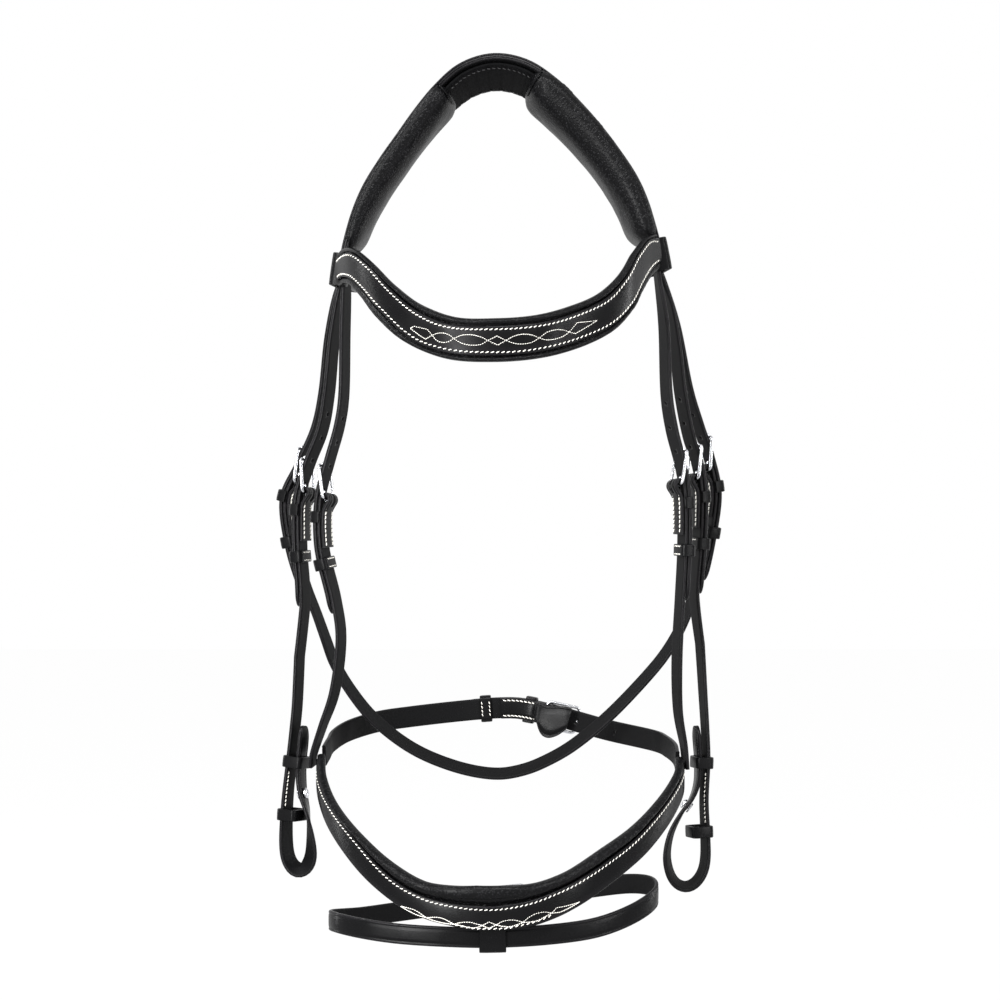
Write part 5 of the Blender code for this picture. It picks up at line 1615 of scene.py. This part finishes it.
@dataclass
class Cheek:
    """One cheek: billet, cheekpiece with its bit loop, hook stud and keepers, at lengths along its route."""

    side: Side
    route: Route
    heel: float
    bit: float
    stud: float
    bit_keeper: float
    hook_keeper: float
    width: float = 13.0 * MM
    hook_reach: float = 9.5 * MM

    def loop_reach(self) -> float:
        """How far inside the bit loop's outer run its inner run lies, beside the bit keeper."""
        place = self.route.frames(self.bit_keeper)
        offset = self.route.point(spaced(self.bit, self.route.length, FINE_STEP)) - place.point
        beside = np.abs(offset @ place.along[0]) < KEEPER_REACH / 2
        return float(np.max(-(offset @ place.out[0])[beside], initial=0.0))

    def build(self, bench: Bench) -> None:
        """Make the cheek's pieces."""
        stem, body = self.side.stem, self.side.stem + "_cheek"
        buckled = Buckled(body, body, self.route, self.heel, self.width)
        buckled.build_fittings(bench)
        end = self.route.length
        stops = to_tip(self.heel + 2 * LEVELS.radius, end)
        halves = tip_shape(stops, end, self.width / 2)
        ease = np.clip((stops - self.heel - BILLET_PAST_BAR) / FOLD_LENGTH, 0, 1)
        buckled.strap(bench, stem + "_cheekpiece", stops, LEVELS.main * (1 - ease), halves)
        self.fittings(bench, body, stem)

    def fittings(self, bench: Bench, body: str, stem: str) -> None:
        """The stud, the two keepers and the stitches of the bit loop."""
        outline = np.array([
            (0.02, -2.8), (3.1, -2.8), (3.6, -2.5), (3.6, -2.0), (3.3, -1.8), (1.2, -1.75), (1.2, 1.75),
            (2.9, 1.8), (3.4, 2.1), (3.4, 2.6), (3.0, 3.2), (2.1, 3.7), (1.0, 3.95), (0.02, 4.0),
        ]) * MM
        stud = copies(stem + "_hook_stud", turned(self.route.frames(self.stud), outline, 40))
        bench.dress(stud, Finish.STEEL, body, stem + "_hook_stud")
        flat = STRAP_THICKNESS / 2 + GAP
        half = self.width / 2 + BAND_GAP
        for name, stop, low in (
            ("_bit_keeper", self.bit_keeper, -self.loop_reach() - flat - BAND_GAP),
            ("_hook_keeper", self.hook_keeper, -self.hook_reach),
        ):
            bench.loop(stem + name, band_loop(self.route.frames(stop), half, low, flat), body)
        start, end = self.bit_keeper + 6 * MM, self.hook_keeper - 5 * MM
        row = inner_row(self.route, start, end, CREASE - self.width / 2, -STRAP_THICKNESS / 2, 2.7 * MM)
        bench.sew(stem + "_bit_loop_stitches", row, 2.2 * MM, body)


@dataclass
class Throatlatch:
    """The throatlatch, buckled to a billet on each side."""

    near: Route
    off: Route
    near_heel: float
    off_heel: float
    width: float = 12.0 * MM

    def build(self, bench: Bench) -> None:
        """Make the throatlatch's pieces."""
        half = self.width / 2
        end = self.near.length - self.off_heel - 2 * LEVELS.radius
        run = spaced(self.near_heel + 2 * LEVELS.radius, end)
        near_fold, off_fold = fold_line(self.near_heel), fold_line(self.off_heel)
        lengths, levels = np.vstack([near_fold, np.stack([run, np.full(len(run), LEVELS.main)], axis=1)]).T
        first, last = self.near.path(lengths, levels), self.off.path(*off_fold.T)
        joined = Frames(*(
            np.vstack([getattr(first, part), getattr(last, part)[::-1]])
            for part in ("point", "along", "across", "out")
        ))
        profile = strap_profile(STRAP_THICKNESS, half=half)
        w, n = profile.sections(np.full(len(joined.point), half), half)
        item = skin("throatlatch", joined.carry(w, n), profile.marks())
        for name, route, heel in (
            ("near_throat", self.near, self.near_heel), ("off_throat", self.off, self.off_heel),
        ):
            buckled = Buckled(name, "throatlatch", route, heel, self.width)
            cut(item, buckled.slot())
            buckled.build_fittings(bench)
        bench.dress(item, Finish.BRIDLE, "throatlatch", "throatlatch")


@dataclass
class Noseband:
    """The noseband's hanging straps, jaw strap and tab; the padded nosepiece is a band of its own."""

    routes: dict[Side, Route]
    heels: dict[Side, float]
    jaw: Route
    width: float = 13.0 * MM
    jaw_width: float = 14.0 * MM
    jaw_heel: float = 142.0 * MM
    jaw_past: float = 58.0 * MM

    def build(self, bench: Bench) -> None:
        """Make the straps on both sides and the jaw strap."""
        for side, route in self.routes.items():
            name = side.stem + "_noseband"
            self.strap(bench, name + "_strap", Buckled(
                name, "noseband", route, self.heels[side], self.width, fixed_node=False,
            ))
        self.strap(bench, "jaw_strap", Buckled(
            "jaw", "noseband", self.jaw, self.jaw_heel, self.jaw_width, self.jaw_past,
            round_top=False, fixed_node=False,
        ))
        self.tab(bench)

    def strap(self, bench: Bench, name: str, buckled: Buckled) -> None:
        """One buckled strap of even width that runs to its route's end."""
        buckled.build_fittings(bench)
        stops = spaced(buckled.heel + 2 * LEVELS.radius, buckled.route.length)
        level, half = (np.full(len(stops), value) for value in (LEVELS.main, buckled.width / 2))
        buckled.strap(bench, name, stops, level, half)

    def tab(self, bench: Bench) -> None:
        """The leaf-shaped leather tab that lies inside the buckle and hangs below its strap."""
        thick, full = 1.6 * MM, 10 * MM
        fold = (LEVELS.heel - LEVELS.radius - STRAP_THICKNESS / 2 - BAND_GAP - thick / 2) / MM
        strap = (LEVELS.returning - STRAP_THICKNESS / 2 - FOLD_ROOM - thick / 2) / MM
        knots = np.array([
            (8.0, strap, 4.0, 2.4), (5.3, fold, 5.0, 1.6), (1.8, fold, 7.8, -1.6), (-1.5, fold, 9.8, -3.4),
            (-5.5, fold, 10.9, -3.6), (-10.0, fold, 10.8, -2.4), (-14.5, fold, 9.6, -0.6),
            (-18.4, fold, 7.6, 1.6), (-19.0, fold, 6.6, 1.8),
        ]) * MM
        length, level, half, shift = smooth_line(knots, 6).T
        profile = strap_profile(thick, half=full)
        w, n = profile.sections(half, full)
        place = self.jaw.path(self.jaw_heel + length, level)
        item = skin("jaw_tab", place.carry(w + shift[:, None], n), profile.marks())
        bench.dress(item, Finish.BRIDLE, "noseband", "jaw_tab")


@dataclass
class Flash:
    """The flash strap round the nose, its buckle behind, its keeper and the loop on the nosepiece."""

    route: Route
    ring: float
    heel: float = 22.0 * MM
    past: float = 34.0 * MM
    width: float = 12.5 * MM
    loop_room: float = 1.3 * MM
    loop_reach: float = 16.5 * MM

    def middle(self) -> float:
        """The length at which the strap crosses the middle of the nose, in front."""
        stops = spaced(self.route.length / 4, self.route.length * 3 / 4, FINE_STEP)
        return float(stops[np.argmin(np.abs(self.route.point(stops)[:, 0]))])

    def build(self, bench: Bench) -> None:
        """Make the strap, its buckle, its keeper and the loop."""
        half = self.width / 2
        end = self.ring + self.heel + self.past
        buckled = Buckled("flash", "flash", self.route, self.heel, self.width)
        stops = to_tip(self.heel + 2 * LEVELS.radius, end)
        part = np.clip((stops - self.heel - FOLD_LENGTH * 2) / (self.ring / 4), 0, 1)
        buckled.strap(bench, "flash_strap", stops, LEVELS.main * (1 - part), tip_shape(stops, end, half))
        buckled.buckle(bench)
        buckled.chape_stitches(bench)
        low = LEVELS.returning - STRAP_THICKNESS / 2 - FOLD_ROOM
        place = self.route.frames(self.heel + FIXED_KEEPER_AT)
        grid = band_loop(place, half + GAP, low, BILLET_THICKNESS / 2 + GAP)
        bench.loop("flash_keeper", grid, "flash")
        rise = STRAP_THICKNESS / 2 + GAP * 3
        place = self.route.frames(self.middle())
        grid = band_loop(place, half + self.loop_room, -rise, rise, self.loop_reach)
        bench.loop("flash_loop", grid, "noseband")


def seen_directly(tree: bpy.types.NodeTree) -> bpy.types.NodeSocket:
    """One for what the camera sees itself, mirrored or through a clear thing, and nought for other light."""
    ray = add_node(tree, "LightPath").outputs
    bent = {0: ray["Is Glossy Ray"], 1: ray["Is Transmission Ray"]}
    through = add_node(tree, "Math", bent, operation="MAXIMUM").outputs[0]
    return add_node(tree, "Math", {0: ray["Is Camera Ray"], 1: through}, operation="MAXIMUM").outputs[0]


# The soft lamps: name, place and width and height in metres, and power in watts.
LAMPS = (
    ("key_strip", (-0.95, -1.65, -0.1), 0.26, 1.5, 48.0),
    ("fill_strip", (1.3, -1.2, -0.05), 0.08, 1.3, 10.0),
    ("top_front_box", (0.15, -1.25, 0.95), 0.9, 0.20, 28.0),
    ("top_left_strip", (-1.1, -0.25, 0.95), 0.10, 0.9, 22.0),
    ("left_strip", (-1.3, 0.35, -0.2), 0.09, 1.2, 6.0),
    ("right_strip", (1.3, 0.45, -0.2), 0.09, 1.2, 6.0),
)


@dataclass
class Studio:
    """A white sweep, soft lamps and the photograph's camera."""

    origin: np.ndarray
    focal: float = 112.5
    floor: float = -0.65
    floor_half: float = 6.0
    middle: float = -0.28
    glow: float = 0.18

    def build(self, bench: Bench) -> None:
        """Make the floor, the world, the lamps and the camera."""
        scene = bpy.context.scene
        scene.view_settings.view_transform = "Standard"
        camera = bpy.data.objects.new("camera", bpy.data.cameras.new("camera"))
        camera.data.lens = self.focal
        camera.data.sensor_width = SENSOR_WIDTH
        camera.location = np.array((CENTRE_SHARE * SPAN / 1000, -EYE_DISTANCE, -EYE_DROP)) - self.origin
        camera.rotation_euler = (np.pi / 2, 0.0, 0.0)
        scene.collection.objects.link(camera)
        scene.camera = camera
        self.world(scene)
        wide = self.floor_half
        corners = [(-wide, -wide), (wide, -wide), (wide, wide), (-wide, wide)]
        floor = new_mesh("floor", np.array([(x, y, self.floor) for x, y in corners]), [[0, 1, 2, 3]])
        floor.data.materials.append(bench.finishes[Finish.PAPER])
        for name, place, width, height, power in LAMPS:
            lamp = bpy.data.lights.new(name, "AREA")
            lamp.shape = "RECTANGLE"
            lamp.size = width
            lamp.size_y = height
            lamp.energy = power
            item = bpy.data.objects.new(name, lamp)
            item.location = place
            aim = unit(np.array((0.0, 0.0, self.middle)) - np.array(place))
            item.rotation_euler = (np.arccos(-aim[2]), 0.0, np.arctan2(-aim[0], aim[1]))
            scene.collection.objects.link(item)

    def world(self, scene: bpy.types.Scene) -> None:
        """The world: white where it is seen or mirrored, and a plain grey light elsewhere."""
        world = bpy.data.worlds.new("studio")
        scene.world = world
        world.use_nodes = True
        tree = world.node_tree
        tree.nodes.clear()
        seen = seen_directly(tree)
        white = add_node(tree, "Background", {"Color": linear("#ffffff"), "Strength": 1.0})
        plain = add_node(tree, "Background", {"Color": linear("#ffffff"), "Strength": self.glow})
        mix = add_node(tree, "MixShader", {0: seen, 1: plain.outputs[0], 2: white.outputs[0]})
        add_node(tree, "OutputWorld", {"Surface": mix.outputs[0]})


def paper() -> bpy.types.Material:
    """White seamless paper: even and matt, lit from behind to white, which still takes a faint shadow."""
    made, tree, shader = blank_material("white_seamless_paper")
    fill(tree, shader, {"Base Color": linear("#ffffff"), "Roughness": 0.9})
    share = add_node(tree, "Math", {0: seen_directly(tree), 1: 0.96}, operation="MULTIPLY").outputs[0]
    glow = add_node(tree, "Emission", {"Color": linear("#ffffff"), "Strength": 1.02})
    mix = add_node(tree, "MixShader", {0: share, 1: shader.outputs[0], 2: glow.outputs[0]})
    tree.links.new(mix.outputs[0], tree.nodes["Material Output"].inputs["Surface"])
    return made


def main() -> None:
    """Dress the bridle piece by piece and set up the studio."""
    logging.basicConfig(level=logging.INFO, format="%(message)s")
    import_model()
    finishes = {
        Finish.BRIDLE: BridleLeather().build(),
        Finish.NAPPA: NappaLeather().build(),
        # The lining's pebble tops get a fainter painted highlight colour too.
        Finish.LINING: NappaLeather(
            name="matt_lining_leather", colour="#060607", highlit_crest="#0e0e0f", pebble=0.9, roughness=0.7,
            gloss=0.05,
        ).build(),
        Finish.WHITE: WaxedThread("white_waxed_thread", "#f2f0ea", "#d8d4ca").build(),
        Finish.BLACK: WaxedThread("black_waxed_thread", "#1b1a1c", "#0e0d0f").build(),
        Finish.STEEL: PolishedSteel().build(),
        Finish.PAPER: paper(),
    }
    bench = Bench(finishes)
    crown = Route(CROWN_SHARES, BACK, 1)
    seat = CROWN_THICKNESS / 2 + LAYER_GAP + LINING_THICKNESS
    origin = crown.frames(crown.length / 2).raised(-seat)[0]
    off, near = Side.OFF, Side.NEAR
    cheeks = {off: Route(OFF_CHEEK_SHARES, BACK, -1, origin), near: Route(NEAR_CHEEK_SHARES, BACK, 1, origin)}
    noses = {off: Route(OFF_NOSE_SHARES, BACK, -1, origin), near: Route(NEAR_NOSE_SHARES, BACK, 1, origin)}
    loops = {off: Route(OFF_LOOP_SHARES, BACK, -1, origin), near: Route(NEAR_LOOP_SHARES, BACK, 1, origin)}
    Headpiece(Route(CROWN_SHARES, BACK, 1, origin)).build(bench)
    PaddedBand(
        name="browband", body="browband", route=Route(BROWBAND_SHARES, UP, 1, origin),
        height=26.6 * MM, depth=7.2 * MM, face=2.4 * MM,
        height_shares=BROWBAND_HEIGHT_SHARES, depth_shares=BROWBAND_DEPTH_SHARES,
        profile=BROWBAND_PROFILE_SHARES, edges=BROWBAND_EDGES, hollow=(-0.74, 0.74),
        stitch_rows=BROWBAND_ROWS, arcs=BROWBAND_ARCS, corners=BROWBAND_CORNERS,
    ).build(bench)
    BrowbandLoops(loops).build(bench)
    Cheek(
        off, cheeks[off], heel=0.143, bit=0.388, stud=0.443, bit_keeper=0.316, hook_keeper=0.350,
    ).build(bench)
    Cheek(
        near, cheeks[near], heel=0.145, bit=0.409, stud=0.473, bit_keeper=0.327, hook_keeper=0.371,
    ).build(bench)
    Throatlatch(
        near=Route(THROAT_SHARES, BACK, 1, origin), off=Route(THROAT_SHARES[::-1], BACK, -1, origin),
        near_heel=0.141, off_heel=0.138,
    ).build(bench)
    Noseband(noses, {off: 0.146, near: 0.147}, Route(JAW_SHARES, UP, 1, origin)).build(bench)
    PaddedBand(
        name="nosepiece", body="noseband", route=Route(NOSEPIECE_SHARES, UP, 1, origin),
        height=26.6 * MM, depth=8.4 * MM, face=2.6 * MM,
        height_shares=NOSEPIECE_HEIGHT_SHARES, depth_shares=NOSEPIECE_DEPTH_SHARES,
        profile=NOSEPIECE_PROFILE_SHARES, edges=NOSEPIECE_EDGES, hollow=(-0.96, 0.23), swell=(0.385, 0.575),
        stitch_rows=NOSEPIECE_ROWS, arcs=NOSEPIECE_ARCS, corners=NOSEPIECE_CORNERS,
    ).build(bench)
    ring = Route(FLASH_SHARES + FLASH_SHARES[:1], UP, 1, origin).length
    Flash(Route(FLASH_SHARES + FLASH_SHARES[:FLASH_OVERLAP_ROWS], UP, 1, origin), ring).build(bench)
    Studio(origin).build(bench)
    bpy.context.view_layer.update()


if __name__ == "__main__":
    main()
